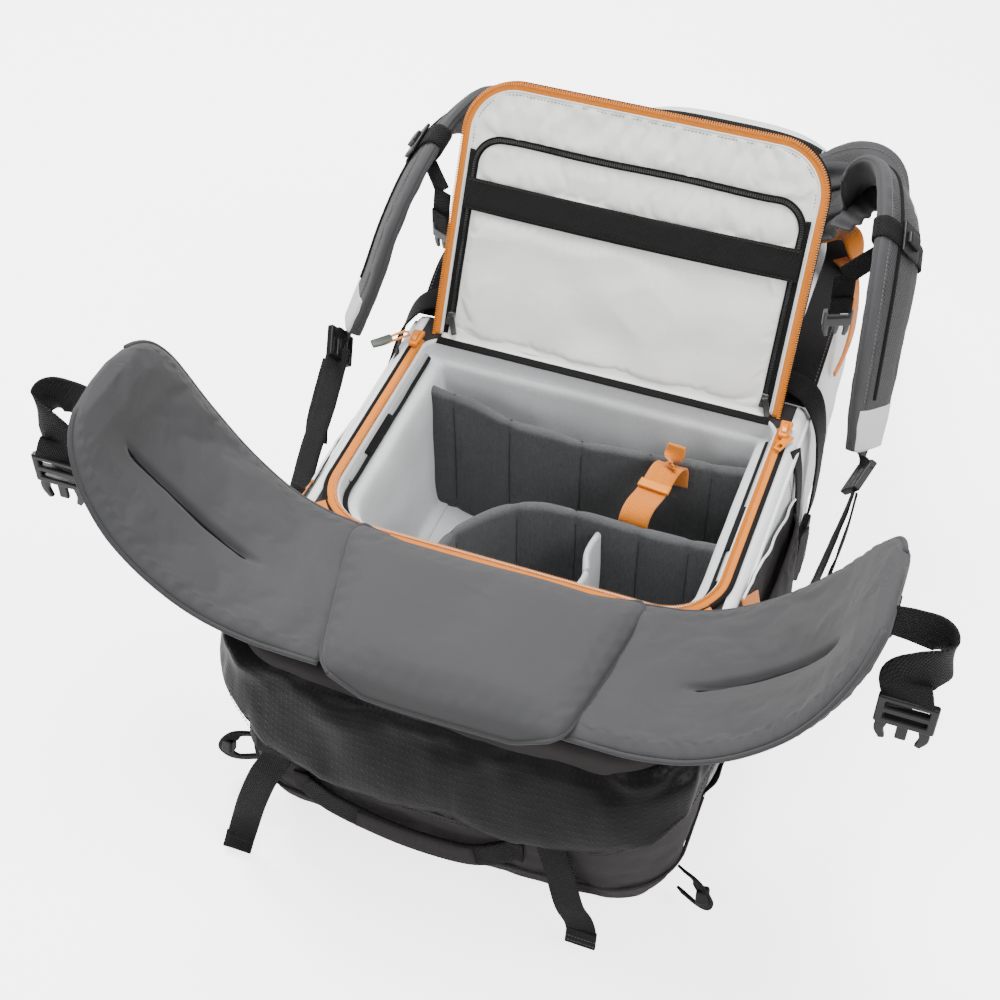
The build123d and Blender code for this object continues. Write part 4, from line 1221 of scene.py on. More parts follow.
def flap_shell():
    """Outer side of the flap, with its two back pads."""
    rings = []
    outline = flap_line(1.5, 9.5, 150)
    base = np.array([(x, 9.5) for x in np.linspace(FLAP_HALF - 3, -FLAP_HALF + 3, 40)])[1:-1]
    plan = np.vstack([outline, base])
    heart = np.array([0, 122.0])
    steps = [(0.985, 7.2), (1.0, 8.4), (1.004, 11.5), (1.0, 14.5), (0.985, 16.6), (0.95, 17.2), (0.8, 17.4),
             (0.6, 17.6), (0.3, 17.6), (0.002, 17.6)]
    for scale, h in steps:
        at = heart + (plan - heart) * scale
        at[:, 1] = np.maximum(at[:, 1], 9.6)
        rings.append(on_flap(at[:, 0], at[:, 1], h))
    rings = np.array(rings)
    soft = wobble(rings, 50, 1.4, 5.0)
    rings = rings + FLAP_OUT * np.clip(soft, -1.2, 0.6)[..., None]
    surface("flap_outer", rings, PAD_DARK, "flap", 1.2, wrap_v=True, replaces=("flap_panel",))
    piping = on_flap(plan[:150, 0] * 1.004, plan[:150, 1] + 0.4, 15.2)
    tube("flap_piping", piping, 1.8, BINDING, "flap", 8)
    for sign, side in SIDES:
        pillow = []
        for share in np.linspace(-1, 1, 60):
            v = 129 + 83 * share
            width = 52 * (1 - abs(share) ** 7) ** 0.5 if abs(share) < 1 else 10
            width = max(width, 14)
            line = []
            for t in np.linspace(-1, 1, 34):
                full = (1 - abs(t) ** 5) ** 0.5 * (1 - abs(share) ** 9) ** 0.5
                line.append(on_flap(sign * 72 + t * width, v, 17.2 + 12.2 * full))
            pillow.append(line)
        pillow = np.array(pillow)
        grooves = 1.4 * np.exp(-((np.mod(np.linspace(0, 166, 60), 42) - 21) / 4.0) ** 2)
        lift = np.clip((np.linalg.norm(pillow - on_flap(sign * 72, 129, 17.2), axis=2) < 70), 0, 1)
        pillow = pillow - FLAP_OUT * (grooves[:, None] * lift)[..., None]
        obj = surface(f"flap_back_pad_{side}", pillow, STRAP_MESH, "flap", 1.0,
                      replaces=("flap_back_pads",) if sign < 0 else ())


def hinge_gusset():
    """Fold of cloth that carries the flap on the pack's rim."""
    across = np.linspace(-154, 154, 90)
    route = [(0, HINGE_Y - 3, BACK_Z - 3.0), (0, HINGE_Y + 1.5, BACK_Z + 0.6),
             (0, HINGE_Y + 5.2, BACK_Z + 3.4), (0, HINGE_Y + 9.5, BACK_Z + 9.5)]
    line = smooth(route, 14)
    points = np.repeat(line[None], 90, 0)
    points[:, :, 0] = across[:, None]
    points[:, :, 1] += wobble(points, 26, 1.2, 4.0)
    obj = surface("hinge_gusset", points, SATIN, None, 0.9)
    apply_modifiers(obj)
    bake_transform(obj)
    low = [(x, HINGE_Y - 2.5, BACK_Z + 0.8, 0, -0.4, 1, 7, 1.4) for x in np.linspace(-156, 156, 16)]
    sweep("hinge_binding", low, BINDING, "pack", count=80, ripple=0.3)


def rim_sliders():
    """Orange sliders of the mouth zip and their pulls."""
    for side in ("left", "right"):
        centre = middle(f"zip_slider_{side}")
        block(f"rim_slider_{side}", centre + np.array([0, 0, -0.6]), ((0, -1, 0), (1, 0, 0)), (20, 11.4, 5.4),
              ENAMEL_ORANGE, f"zip_{side}", 1.8, (f"zip_slider_{side}",), taper=0.72)
        bridge = [np.r_[centre + np.array([0, 6 - 3 * i, 2.2 + 1.9 * math.sin(i * math.pi / 4)]), 0, 0, 1,
                        4.6, 1.5] for i in range(5)]
        sweep(f"rim_slider_bridge_{side}", bridge, ENAMEL_ORANGE, f"zip_{side}", count=16)
    block("rim_pull_right", (175, 66, BACK_Z + 5.5), ((-0.3, -1, 0.1), (1, 0, 0)), (24, 8, 2.4),
          ENAMEL_ORANGE, "zip_right",
          1.0, holes=((6, 0, 6, 3.4),), taper=0.8)
    loop = [(-181, 86, 247.6), (-186, 84, 248), (-192, 78, 247.4), (-198, 71, 246.8), (-203, 65, 246.3),
            (-205, 61.5, 246),
            (-202, 60.5, 245.8), (-196, 65, 246.2), (-189, 72, 247), (-182, 79, 247.8), (-179, 83, 247.8)]
    tube("pull_cord_left", loop, 1.15, ORANGE_TEETH, "pull_left", 8, 70, ("zip_pull_left",))
    tab = [(-193, 73, 247.5, 0, 0, 1, 8.4, 4.4), (-199, 67, 246.6, 0, 0, 1, 9.4, 4.4),
           (-207, 60, 246, 0, 0, 1, 8.6, 3.8)]
    sweep("pull_tab_left", tab, PULL_TAB, "pull_left", pad_section(20, 0.5), 22)


# Lumbar pad, hip wings and waist webbing ----------------------------------------------------------------

def lumbar():
    """Lumbar pad, a crowned wedge that narrows toward the foot."""
    nu, nv = 110, 80
    x0, x1 = corner("lumbar_pad", 0)[0], corner("lumbar_pad", 1)[0]
    near, far = corner("lumbar_pad", 0)[1] - 11, corner("lumbar_pad", 1)[1] - 4
    points = np.zeros((nu, nv, 3))
    for i, s in enumerate(np.linspace(-1, 1, nu)):
        for j, t in enumerate(np.linspace(-1, 1, nv)):
            y = (near + far) / 2 + t * (far - near) / 2
            share = (far - y) / (far - near)
            left = x0 + 37 * share**1.1
            right = x1 - 23 * share**1.1
            middle, half = (left + right) / 2, (right - left) / 2
            sx = np.sign(s) * (1 - (1 - abs(s)) ** 1.15)
            corner_cut = 9 * abs(t) ** 10
            x = middle + sx * (half - corner_cut)
            back = 5 if t > 0 else 8
            full = (1 - abs(s) ** 9) ** 0.5 * (1 - abs(t) ** back) ** 0.5
            yy = y + 5 * (1 - sx**2) * np.clip(-t, 0, 1) ** 3 * -0.6
            stand = 4 + 14 * np.clip((abs(x - middle) / half - 0.62) / 0.3, 0, 1)
            rise = (31 - stand) * full + 3.0 * (1 - s * s) * (1 - t * t)
            points[i, j] = (x, yy, BACK_Z + stand + rise)
    points[..., 2] += wobble(points * np.array([1, 1, 0]), 70, 1.6, 2.0)
    edge = np.minimum(np.minimum(np.arange(nu)[:, None], np.arange(nu)[::-1][:, None]) * 2.3,
                      np.minimum(np.arange(nv), np.arange(nv)[::-1])[None] * 1.8)
    pucker = np.sin(points[..., 0] / 2.4) + np.sin(points[..., 1] / 2.6)
    points[..., 2] += 0.35 * pucker * np.exp(-((edge - 12) / 5.0) ** 2)
    obj = surface("lumbar_cushion", points, PAD, "pack", replaces=("lumbar_pad",))
    pins = (edge < 5).ravel()
    relax(obj, pins, 14, pressure=0.6, excess=0.004, cap=1.5, bending=2.0)
    rim = np.concatenate([points[:, 0], points[-1, 1:], points[::-1, -1][1:], points[0, ::-1][1:-1]])
    rim = np.vstack([rim, rim[:1]])
    rim[:, 2] += 1.0
    tube("lumbar_seam", smooth(rim[::4], 260), 1.9, PAD_DARK, "pack", 8)


WING_LINE = [(96, 251.5), (126, 254.5), (155, 259), (190, 272), (225, 296), (256, 327), (276, 355),
             (291, 383), (302.5, 408.5)]


def wing_frame(share):
    """Centre line of the right wing across the pack and its outward normal, for shares of its length."""
    line = smooth([(x, z, 0) for x, z in WING_LINE], 200)
    at = np.clip(share, 0, 1) * 199
    place = np.stack([np.interp(at, np.arange(200), line[:, k]) for k in range(2)], -1)
    tangent = np.gradient(line[:, :2], axis=0)
    slope = np.stack([np.interp(at, np.arange(200), tangent[:, k]) for k in range(2)], -1)
    slope = slope / np.linalg.norm(slope, axis=-1, keepdims=True)
    return place, np.stack([-slope[..., 1], slope[..., 0]], -1)


def wing_edges(share):
    """Far and near edges of the wing along the pack for shares of its length."""
    rows = [(0, -159, -296), (0.25, -156, -300), (0.45, -149, -302), (0.65, -142, -299), (0.8, -140, -290),
            (0.88, -144, -281), (0.94, -154, -269), (0.98, -172, -252), (1.0, -196, -226)]
    line = smooth(rows, 300)
    return np.interp(share, line[:, 0], line[:, 1]), np.interp(share, line[:, 0], line[:, 2])


def wing_section(count):
    """Closed pillow section: three quarters of its points on the padded face, the rest underneath."""
    top = count * 3 // 4
    turn = np.linspace(math.pi / 2, -math.pi / 2, top)
    face = 0.6 * np.sin(turn) + 0.4 * np.linspace(1, -1, top)
    under = np.linspace(-1, 1, count - top + 2)[1:-1]
    across = np.concatenate([face, under])
    height = (1 - np.abs(across) ** 7) ** 0.5
    height[top:] *= -1
    return across, height


def wing_points(sign, nu, nv):
    """Pillow of the wing as a closed section at each share of its length."""
    share = np.linspace(0, 1, nu)
    share = 1 - (1 - share) ** 1.25
    place, out = wing_frame(share)
    far, near = wing_edges(share)
    across, height = wing_section(nv)
    middle, half = (far + near) / 2, (far - near) / 2
    y = middle[:, None] + across[None] * half[:, None]
    thick = np.interp(share, [0, 0.15, 0.9, 0.97, 1.0], [5.5, 9.6, 9.6, 7.5, 2.0])
    offset = height[None] * thick[:, None]
    groove = -236 + 6 * np.sin((share - 0.3) * 5)[:, None]
    broad = np.interp(share, [0, 0.16, 0.34, 0.76, 0.9, 1], [0, 0, 1, 1, 0, 0])[:, None]
    slit = np.interp(share, [0, 0.27, 0.35, 0.75, 0.82, 1], [0, 0, 1, 1, 0, 0])[:, None]
    valley = (broad * 5.6 * np.exp(-((y - groove) / 19.0) ** 2)
              + slit * 7.2 * np.exp(-((y - groove) / 3.2) ** 2))
    offset = offset - valley * (height[None] > 0)
    seam = np.abs(across)[None] > 0.86
    pucker = (np.sin(np.cumsum(np.full(nu, 1.0))[:, None] * 1.15) * 0.55
              + np.sin(np.arange(nu)[:, None] * 0.53) * 0.4)
    offset = offset + pucker * seam * np.sign(height)[None] * np.clip(np.abs(height), 0, 1)[None]
    points = np.zeros((nu, nv, 3))
    points[..., 0] = place[:, None, 0] + out[:, None, 0] * offset
    points[..., 1] = y
    points[..., 2] = place[:, None, 1] + out[:, None, 1] * offset
    bump = wobble(points, 55, 2.4, 4.0 + sign) + wobble(points, 20, 0.7, 9.0)
    weight = np.clip(height, 0, 1)[None] * np.clip((1 - np.abs(across))[None] * 6, 0, 1)
    points[..., 0] += out[:, None, 0] * bump * weight
    points[..., 2] += out[:, None, 1] * bump * weight
    points[..., 0] *= sign
    return points


def wings():
    """Hip wings with their seams, slots and waist webbing; a black tube in each slot's groove is painted
    shade for the slit's dark crease.
    """
    nu, nv = 128, 144
    for sign, side in SIDES:
        points = wing_points(sign, nu, nv)
        obj = surface(f"wing_cushion_{side}", points, PAD, f"wing_{side}", wrap_v=True, caps=True,
                      replaces=(f"hip_wing_{side}",))
        across, height = wing_section(nv)
        pins = np.zeros((nu, nv), bool)
        pins[:, np.abs(across) > 0.93] = True
        pins[:, height < 0.2] = True
        pins[:5] = pins[-5:] = True
        pins |= (np.abs(points[..., 1] + 236) < 20)
        relax(obj, pins.ravel(), 16, pressure=1.0, excess=0.006, cap=1.8, bending=1.5)
        share = np.linspace(0, 0.985, 120)
        place, out = wing_frame(share)
        far, near = wing_edges(share)
        for name, edge in (("far", far + 0.8), ("near", near - 0.8)):
            line = np.stack([sign * place[:, 0], edge, place[:, 1]], 1)
            tube(f"wing_seam_{name}_{side}", line, 2.1, PAD_DARK, f"wing_{side}", 8)
        # Black tube sunk in the slot's groove: painted shade that darkens the slit's crease, not a part of
        # the pack.
        share = np.linspace(0.31, 0.79, 60)
        place, out = wing_frame(share)
        depth = 9.6 - 11.6 * np.interp(share, [0.31, 0.36, 0.74, 0.79], [0.8, 1, 1, 0.8])
        line = np.stack([sign * (place[:, 0] + out[:, 0] * depth), -236 + 6 * np.sin((share - 0.3) * 5),
                         place[:, 1] + out[:, 1] * depth], 1)
        tube(f"wing_slot_painted_shade_{side}", line, 1.4, BINDING, f"wing_{side}", 8)
        waist_webbing(sign, side)


def waist_webbing(sign, side):
    """Waist webbing from behind a wing, with its buckle half."""
    body = f"wing_{side}"
    place, out = wing_frame(np.array([0.56, 0.7, 0.84, 0.95]))
    back = [np.r_[sign * (p[0] - o[0] * 9.6), -222, p[1] - o[1] * 9.6, -sign * o[0], 0, -o[1], 38, 2.2]
            for p, o in zip(place, out)]
    sweep(f"waist_web_back_{side}", back, WEBBING, body, count=40)
    rows = [(301, -222, 387, 0.1, 1, 0.2), (319, -221, 386, 0.1, 1, 0.1), (338, -223, 385, 0.5, 0.9, 0),
            (347, -229, 380, 1, 0.1, 0), (345, -238, 376, 0.6, -0.8, 0), (334, -244, 371, 0, -1, 0),
            (323, -247, 363, 0, -1, 0),
            (326, -251, 350, 0, -1, -0.1), (329, -253, 340, 0, -1, -0.1)]
    rows = mirrored(rows, sign, 36, 2.4)
    sweep(f"waist_web_loop_{side}", rows, WEBBING, body, count=90,
          replaces=(f"hip_webbing_{side}",), ripple=0.3)
    centre = np.array([sign * 329, -252, 332.0])
    block(f"waist_ladder_{side}", centre, ((1, 0, 0), (0, 0, 1)), (42, 28, 6), PLASTIC,
          f"waist_buckle_{side}", 1.6,
          (f"hip_buckle_{side}",), holes=((0, 6.5, 30, 5.5), (0, -5.0, 30, 5.0)))
    for k, x in enumerate((-14.5, 14.5)):
        tongue = [np.r_[centre + np.array([x, 0, -13]), 0, -1, 0, 8, 4.4],
                  np.r_[centre + np.array([x * 1.08, 0, -22]), 0, -1, 0, 7, 4.2],
                  np.r_[centre + np.array([x * 0.86, 0, -31]), 0, -1, 0, 4.5, 3.4]]
        sweep(f"waist_prong_{k}_{side}", tongue, PLASTIC, f"waist_buckle_{side}",
              pad_section(20, 0.5), 20)
    block(f"waist_spine_{side}", centre + np.array([0, 0, -20]), ((1, 0, 0), (0, 0, 1)), (8, 16, 3.4),
          PLASTIC, f"waist_buckle_{side}",
          1.0)


# Yoke, shoulder straps and their webbing -------------------------------------------------------------

def yoke_pad():
    """Gathered pad between the two shoulder straps."""
    nu, nv = 90, 60
    s = np.linspace(-1, 1, nu)[:, None]
    t = np.linspace(-1, 1, nv)[None]
    x = 72 * s * (1 - 0.03 * t**2)
    y = 332 + 32 * t * (1 - 0.05 * s**2)
    full = (1 - np.abs(s) ** 7) ** 0.5 * (1 - np.abs(t) ** 7) ** 0.5
    points = np.stack([x + 0 * t, y + 0 * s, 265 + 17 * full], 2)
    points[..., 2] += wobble(points * np.array([2.4, 0.7, 1]), 16, 3.2, 3.0) * full
    obj = surface("yoke_cushion", points, CHARCOAL, "pack", 1.2, replaces=("yoke",))
    for x0 in (-40, 40):
        rows = [(x0, y0, 283.5, 0, 0, 1, 25, 2) for y0 in (301, 320, 340, 362)]
        sweep(f"yoke_webbing_{'left' if x0 < 0 else 'right'}", rows, WEBBING, "pack", count=30)


STRAPS = {
    "left": [(90, 322, 281), (130, 314, 308), (161, 298, 344), (184, 264, 375), (196, 215, 381),
             (204, 165, 364),
             (213, 128, 330), (223, 104, 285), (237, 86, 240)],
    "right": [(88, 332, 286), (132, 330, 322), (170, 312, 356), (202, 276, 380), (220, 222, 384),
              (229, 170, 364),
              (233, 134, 328), (236, 112, 284), (239, 92, 240)],
}
FACING = [(-0.7, 0, 0.7), (-0.4, -0.4, 0.75), (0.2, -0.6, 0.75), (0.75, -0.2, 0.6), (0.82, -0.15, 0.55),
          (0.86, -0.25, 0.45),
          (0.9, -0.3, 0.35), (0.9, -0.35, 0.3), (0.9, -0.4, 0.2)]
STRAP_WIDTHS = [68, 70, 68, 64, 62, 62, 60, 56, 41]
STRAP_THICK = 14.5


def strap_rows(sign, side):
    """Rows of a shoulder strap's foam, for sweep()."""
    rows = []
    for place, facing, wide in zip(STRAPS[side], FACING, STRAP_WIDTHS):
        x, y, z = unit(facing)
        rows.append((sign * place[0], place[1], place[2], sign * x, y, z, wide, STRAP_THICK))
    return rows


def shoulder_straps():
    """Padded straps with their mesh, seams, tips and gear."""
    for sign, side in SIDES:
        body = f"strap_{side}"
        rows = strap_rows(sign, side)
        obj = sweep(f"strap_cushion_{side}", rows, PAD, body, pad_section(56, 0.22), 150,
                    (f"shoulder_strap_{side}",), 0.9, 3.0)
        line = smooth(rows, 150)
        _, across, normal = frames_along(line[:, :3], line[:, 3:6])
        outer = 1.0 if normal[75, 0] * sign >= 0 else -1.0
        lift = line[:, :3] + normal * outer * 5.6
        keep = slice(22, 138)
        panel = np.hstack([lift, normal * outer, line[:, 6:7] * 0.66, np.full((150, 1), 5.2)])[keep]
        sweep(f"strap_mesh_{side}", panel, STRAP_MESH, body, pad_section(40, 0.2), 120,
              curve=False)
        for edge, place in ((-1, "a"), (1, "b")):
            seam = (line[:, :3] + across * edge * line[:, 6:7] * 0.475)[3:-3]
            tube(f"strap_binding_{place}_{side}", seam, 2.4, PAD_DARK, body, 8)
            row = (line[:, :3] + normal * outer * 6.6 + across * edge * line[:, 6:7] * 0.38)[20:-16]
            stitches(f"strap_stitch_{place}_{side}", row, (normal * outer)[20:-16], THREAD_GREY, body,
                     3.6)
        cord = (line[:, :3] + normal * outer * 8.4 + across * line[:, 6:7] * 0.16)[18:134]
        tube(f"strap_cord_{side}", cord, 2.0, BINDING, body, 8)
        tip = np.hstack([line[:, :3] + normal * outer * 2.0, normal * outer,
                         np.clip(line[:, 6:7] * 0.94, 0, 46), np.full((150, 1), 13.0)])[136:]
        sweep(f"strap_tip_{side}", tip, STRAP_TIP, body, pad_section(32, 0.5), 16)
        root = [(62, 330, 279), (100, 328, 296), (134, 320, 320), (164, 302, 343), (188, 272, 352)]
        root = [(sign * x, y - 6, z - 4, 0.2 * sign, -0.72, 0.62, w, 3.4)
                for (x, y, z), w in zip(root, (44, 60, 70, 66, 40))]
        sweep(f"strap_root_{side}", root, PAD_DARK, body, pleated(), 70, ripple=1.6, seed=4.0)
        chest_gear(sign, side, line, across, normal * outer)
        adjuster(sign, side, line, normal * outer)
        lower_strap(sign, side)


def pleated():
    """Section of gathered cloth: soft folds along a flat strip."""
    across = np.linspace(-1, 1, 41)
    fold = np.sin(across * 13) * 0.9
    return np.vstack([np.stack([across, fold - 0.7], 1), np.stack([across, fold + 0.7], 1)[::-1]])


def chest_gear(sign, side, line, across, normal):
    """Chest-strap keeper round a shoulder strap, with its webbing and buckle half."""
    centre = middle(f"sternum_slider_{side}")
    near = int(np.argmin(np.linalg.norm(line[:, :3] - centre, axis=1)))
    place, out, cross = line[near, :3], normal[near], across[near]
    tangent = unit(line[near + 1, :3] - line[near - 1, :3])
    body = f"sternum_{side}"
    band = []
    for turn in np.linspace(0, 2 * math.pi, 21):
        a = np.sign(math.cos(turn)) * abs(math.cos(turn)) ** 0.5 * 32
        b = np.sign(math.sin(turn)) * abs(math.sin(turn)) ** 0.6 * 9.6
        band.append(np.r_[place + cross * a + out * b, cross * math.cos(turn) + out * math.sin(turn), 20,
                          2.0])
    sweep(f"chest_band_0_{side}", band, WEBBING, body, count=60,
          replaces=(f"sternum_slider_{side}",))
    block(f"chest_plate_{side}", place + out * 12.6, (tangent, cross), (30, 24, 3.2), PLASTIC, body,
          1.2)
    block(f"chest_hook_{side}", place + out * 15.6, (tangent, cross), (12, 16, 4.4), PLASTIC, body,
          1.4)
    x, y, _ = middle(f"sternum_buckle_{side}")
    facing = unit((sign * 0.45, -1, 0.1))
    chest = f"chest_buckle_{side}"
    top = np.array([x, y, corner(f"sternum_buckle_{side}", 1)[2] - 2])
    drop = [np.r_[top + np.array([0, 0, -s]) + facing * 2.5 * math.sin(s / 16), facing, 20, 2.0]
            for s in (0, 10, 20, 30, 38)]
    sweep(f"chest_web_{side}", drop, WEBBING, chest, count=30,
          replaces=(f"sternum_buckle_{side}",))
    reach = place + out * 14
    link = [np.r_[reach, out, 20, 2.0],
            np.r_[reach * 0.5 + top * 0.5 + np.array([0, 0, 4.0]), unit(out + facing), 20, 2.0],
            np.r_[top, facing, 20, 2.0]]
    sweep(f"chest_link_{side}", link, WEBBING, body, count=24)
    fold = [np.r_[top + np.array([0, 0, -s]) + facing * 4.4, facing, 20, 2.0] for s in (22, 30, 38)]
    sweep(f"chest_web_fold_{side}", fold, WEBBING, chest, count=12)
    clip = top + np.array([0, 0, -46.0])
    wide = np.cross(facing, (0, 0, 1))
    block(f"chest_clip_{side}", clip, (wide, (0, 0, 1)), (26, 17, 6), PLASTIC_GREY, chest,
          1.6, holes=((0, 3.5, 19, 4.0),))
    for k, s in enumerate((-9, 0, 9)):
        length = 12 if s else 10
        prong = [np.r_[clip + np.array(wide) * s * f + np.array([0, 0, -8 - length * q]), facing,
                       (5.4, 4.6, 3.0)[i], (4, 3.6, 2.6)[i]]
                 for i, (q, f) in enumerate(((0, 1), (0.5, 1.03), (1, 0.88)))]
        sweep(f"chest_prong_{k}_{side}", prong, PLASTIC_GREY, chest, pad_section(18, 0.5),
              16)


def adjuster(sign, side, line, normal):
    """Ladder adjuster below a shoulder strap."""
    centre = middle(f"strap_adjuster_{side}")
    along = unit((sign * 0.35, -0.5, 0.79))
    out = unit((sign * 0.9, -0.1, -0.42))
    cross = np.cross(out, along)
    block(f"adjuster_{side}", centre, (along, cross), (34, 30, 6.5), PLASTIC, f"strap_{side}",
          2.0,
          (f"strap_adjuster_{side}",), holes=((9, 0, 4.5, 24), (-1.5, 0, 5.0, 24), (-11, 0, 4.5, 24)))
    bar = [np.r_[centre + cross * s + out * 3.6 + along * -6, out, 5, 3.4] for s in (-12, 0, 12)]
    sweep(f"adjuster_bar_{side}", bar, PLASTIC, f"strap_{side}", pad_section(16, 0.6), 10)
    neck = [np.r_[line[-4, :3], normal[-4], 25, 2.4],
            np.r_[(line[-1, :3] + centre) / 2, unit(normal[-1] + out), 25, 2.4],
            np.r_[centre + along * 9 + out * 1.5, out, 24, 2.4]]
    sweep(f"adjuster_neck_{side}", neck, WEBBING, f"strap_{side}", count=16)


def lower_strap(sign, side):
    """Lower webbing from the adjuster down to its orange tab on the pack."""
    facing = (0.93, 0.18, 0.1) if sign > 0 else (-0.2, -0.85, 0.5)
    rows = [(243, 64, 227), (241, 44, 213), (237, 12, 198), (232, -28, 186), (225, -70, 173),
            (216, -112, 159)]
    body = f"lower_web_{side}"
    rows = mirrored(rows, sign, *facing, 24.5, 2.2)
    sweep(f"lower_web_{side}_strap", rows, WEBBING, body, count=90,
          replaces=(f"lower_webbing_{side}",), ripple=0.4)
    tail = [(245, 56, 218), (245, 34, 200), (243, 10, 184), (240, -4, 168)]
    tail = mirrored(tail, sign, *facing, 24.5, 2.0)
    sweep(f"lower_web_{side}_tail", tail, WEBBING, body, count=40, ripple=0.4)
    foot = [(222, -84, 171), (215, -108, 163), (208, -122, 178), (203, -120, 200), (197, -108, 222)]
    foot = mirrored(foot, sign, *facing, 24.5, 2.6)
    sweep(f"lower_web_{side}_foot", foot, WEBBING, "pack", count=40)
    anchor = [(190, -98, 232, 1, 0, 0.4, 34, 2.0), (193, -103, 225, 1, 0, 0.5, 32, 2.2),
              (199, -109, 216, 1, 0, 0.5, 26, 2.4), (204, -113, 208, 1, 0, 0.4, 22, 2.4)]
    anchor = mirrored(anchor, sign)
    sweep(f"strap_anchor_{side}", anchor, ORANGE_WEB, "pack", count=30,
          replaces=("strap_anchors",) if sign < 0 else ())


# Side straps, pockets and bands ----------------------------------------------------------------------

def compression_gear():
    """Side compression straps with their buckles."""
    for sign, side in SIDES:
        rows = [(152, 138, 252.5, 0, -0.2, 1), (172, 134, 252.5, 0.1, -0.2, 1),
                (187, 126, 247, 0.6, -0.2, 0.8), (199, 114, 226, 1, -0.1, 0.3),
                (204.5, 98, 196, 1, 0, 0.1), (206, 84, 168, 1, 0, 0), (204.5, 77, 148, 1, 0, -0.1)]
        rows = mirrored(rows, sign, 24, 2.0)
        sweep(f"side_web_{side}", rows, WEBBING, "pack", count=60,
              replaces=(f"compression_strap_{side}",), ripple=0.3)
        centre = middle(f"compression_buckle_{side}") + np.array([-sign * 1.0, 0, 0])
        male = centre + np.array([0, 0, 20.0])
        female = centre + np.array([0, 0, -11.0])
        axes = ((0, 0, 1), (0, sign, 0))
        block(f"side_female_{side}", female, axes, (37, 34, 9.5), PLASTIC, "pack", 2.4,
              (f"compression_buckle_{side}",), holes=((-12.5, 0, 4.5, 25),), taper=0.92)
        block(f"side_male_{side}", male, axes, (18, 33, 7.0), PLASTIC, "pack", 2.0,
              holes=((3.6, 0, 4.0, 25),), taper=0.96)
        for k, s in enumerate((-14.2, 14.2)):
            rib = [(centre[0], centre[1] + s, centre[2] + z, sign, 0, 0, w, t)
                   for z, w, t in ((11, 5, 5), (4, 6.6, 6.6), (-4, 5.6, 5.6))]
            sweep(f"side_latch_{k}_{side}", rib, PLASTIC, "pack", pad_section(16, 0.6), 16)
        low_web = [(199, 76, 100), (198.5, 76, 88), (196.5, 76, 70), (192.8, 76, 48)]
        low_web = mirrored(low_web, sign, sign, 0, 0.1, 24, 2.0)
        sweep(f"side_web_low_{side}", low_web, WEBBING, "pack", count=26)
        tail = [(207, 60, 152), (207.5, 56, 138), (207.5, 50, 120), (207.5, 47, 104)]
        tail = mirrored(tail, sign, sign, -0.2, 0, 23, 1.9)
        sweep(f"side_web_tail_{side}", tail, WEBBING, "pack", count=30, ripple=0.5)


def stretch_pockets():
    """Stretch pockets low on both sides, with their rims and seams."""
    for sign, side in SIDES:
        nu, nv = 70, 60
        points = np.zeros((nu, nv, 3))
        for i, s in enumerate(np.linspace(0, 1, nu)):
            y = -141 + 181 * s
            rim = 210 - 18 * s + 2 * math.sin(s * 9)
            for j, t in enumerate(np.linspace(0, 1, nv)):
                z = 30 + (rim - 30) * t
                wall = np.interp(z, [0, 60, 118, 190, 240], [176, 191, 196.6, 193.6, 182])
                room = 13.2 * min(1, (1 - abs(2 * s - 1) ** 6) ** 0.5 + 0.02) * min(1, t * 5 + 0.1)
                points[i, j] = (wall + room * (0.72 + 0.28 * t), y, z)
        folds = wobble(points * np.array([1, 1, 0.5]), 20, 3.0, 5.0 * sign) * np.linspace(1, 0.15, nv)[None]
        points[..., 0] += np.clip(folds, -3, 1.2)
        points[..., 0] = np.minimum(points[..., 0], 210.5) * sign
        obj = surface(f"pocket_cloth_{side}", points, STRETCH, "pack",
                      replaces=(f"side_pocket_{side}",))
        edge = np.minimum.outer(np.minimum(np.arange(nu), np.arange(nu)[::-1]),
                                np.minimum(np.arange(nv), np.arange(nv)[::-1]))
        relax(obj, (edge < 2).ravel(), 18, pressure=0.4, excess=0.03, cap=3, bending=0.1)
        thicken(obj, 1.6)
        tube(f"pocket_rim_{side}", points[:, -1], 1.8, STRETCH, "pack", 8)
        for name, line in (("near", points[0]), ("far", points[-1])):
            tube(f"pocket_{name}_seam_{side}", line, 1.8, BINDING, "pack", 8)


def foot_sides():
    """Charcoal cloth that wraps the sides near the base, its upper edge dropping toward the head end."""
    for sign, side in SIDES:
        stations = np.linspace(CAMERA_END - 10, 45, 60)
        rim = np.interp(stations, [-152, -96, -51, 0, 45], [239.0, 238.5, 231, 218, 205])
        points = np.zeros((60, 44, 3))
        for i, y in enumerate(stations):
            z = np.linspace(rim[i], 3, 44)
            wall = np.interp(z, [0, 4, 14, 60, 120, 190, 231, 238, 240],
                             [164, 172, 180, 193, 198, 193, 187, 183.5, 181])
            points[i] = np.stack([wall + 4.4, np.full(44, y), z], 1)
        points[..., 0] += np.clip(wobble(points, 30, 3.4, 6.0 * sign), -0.4, 2.5)
        points[..., 0] *= sign
        surface(f"foot_side_{side}", points, STRETCH, "pack", 1.6)
        tube(f"foot_side_trim_{side}", points[12:, 0] + np.array([sign * 0.6, 0, 0.6]), 1.1, SHELL, "pack",
             8)
        tube(f"foot_side_seam_{side}", points[-1, :-4], 1.6, BINDING, "pack", 8)
        strip = [(185.5, 70, 237.5, 0.6, 0, 0.8), (193, 60, 220, 1, 0, 0.4), (198.5, 46, 198, 1, 0, 0.2),
                 (203, 34, 172, 1, 0, 0), (206, 24, 148, 1, 0, 0)]
        strip = mirrored(strip, sign, 15, 1.8)
        sweep(f"side_strip_{side}", strip, WEBBING, "pack", count=50, ripple=0.3)


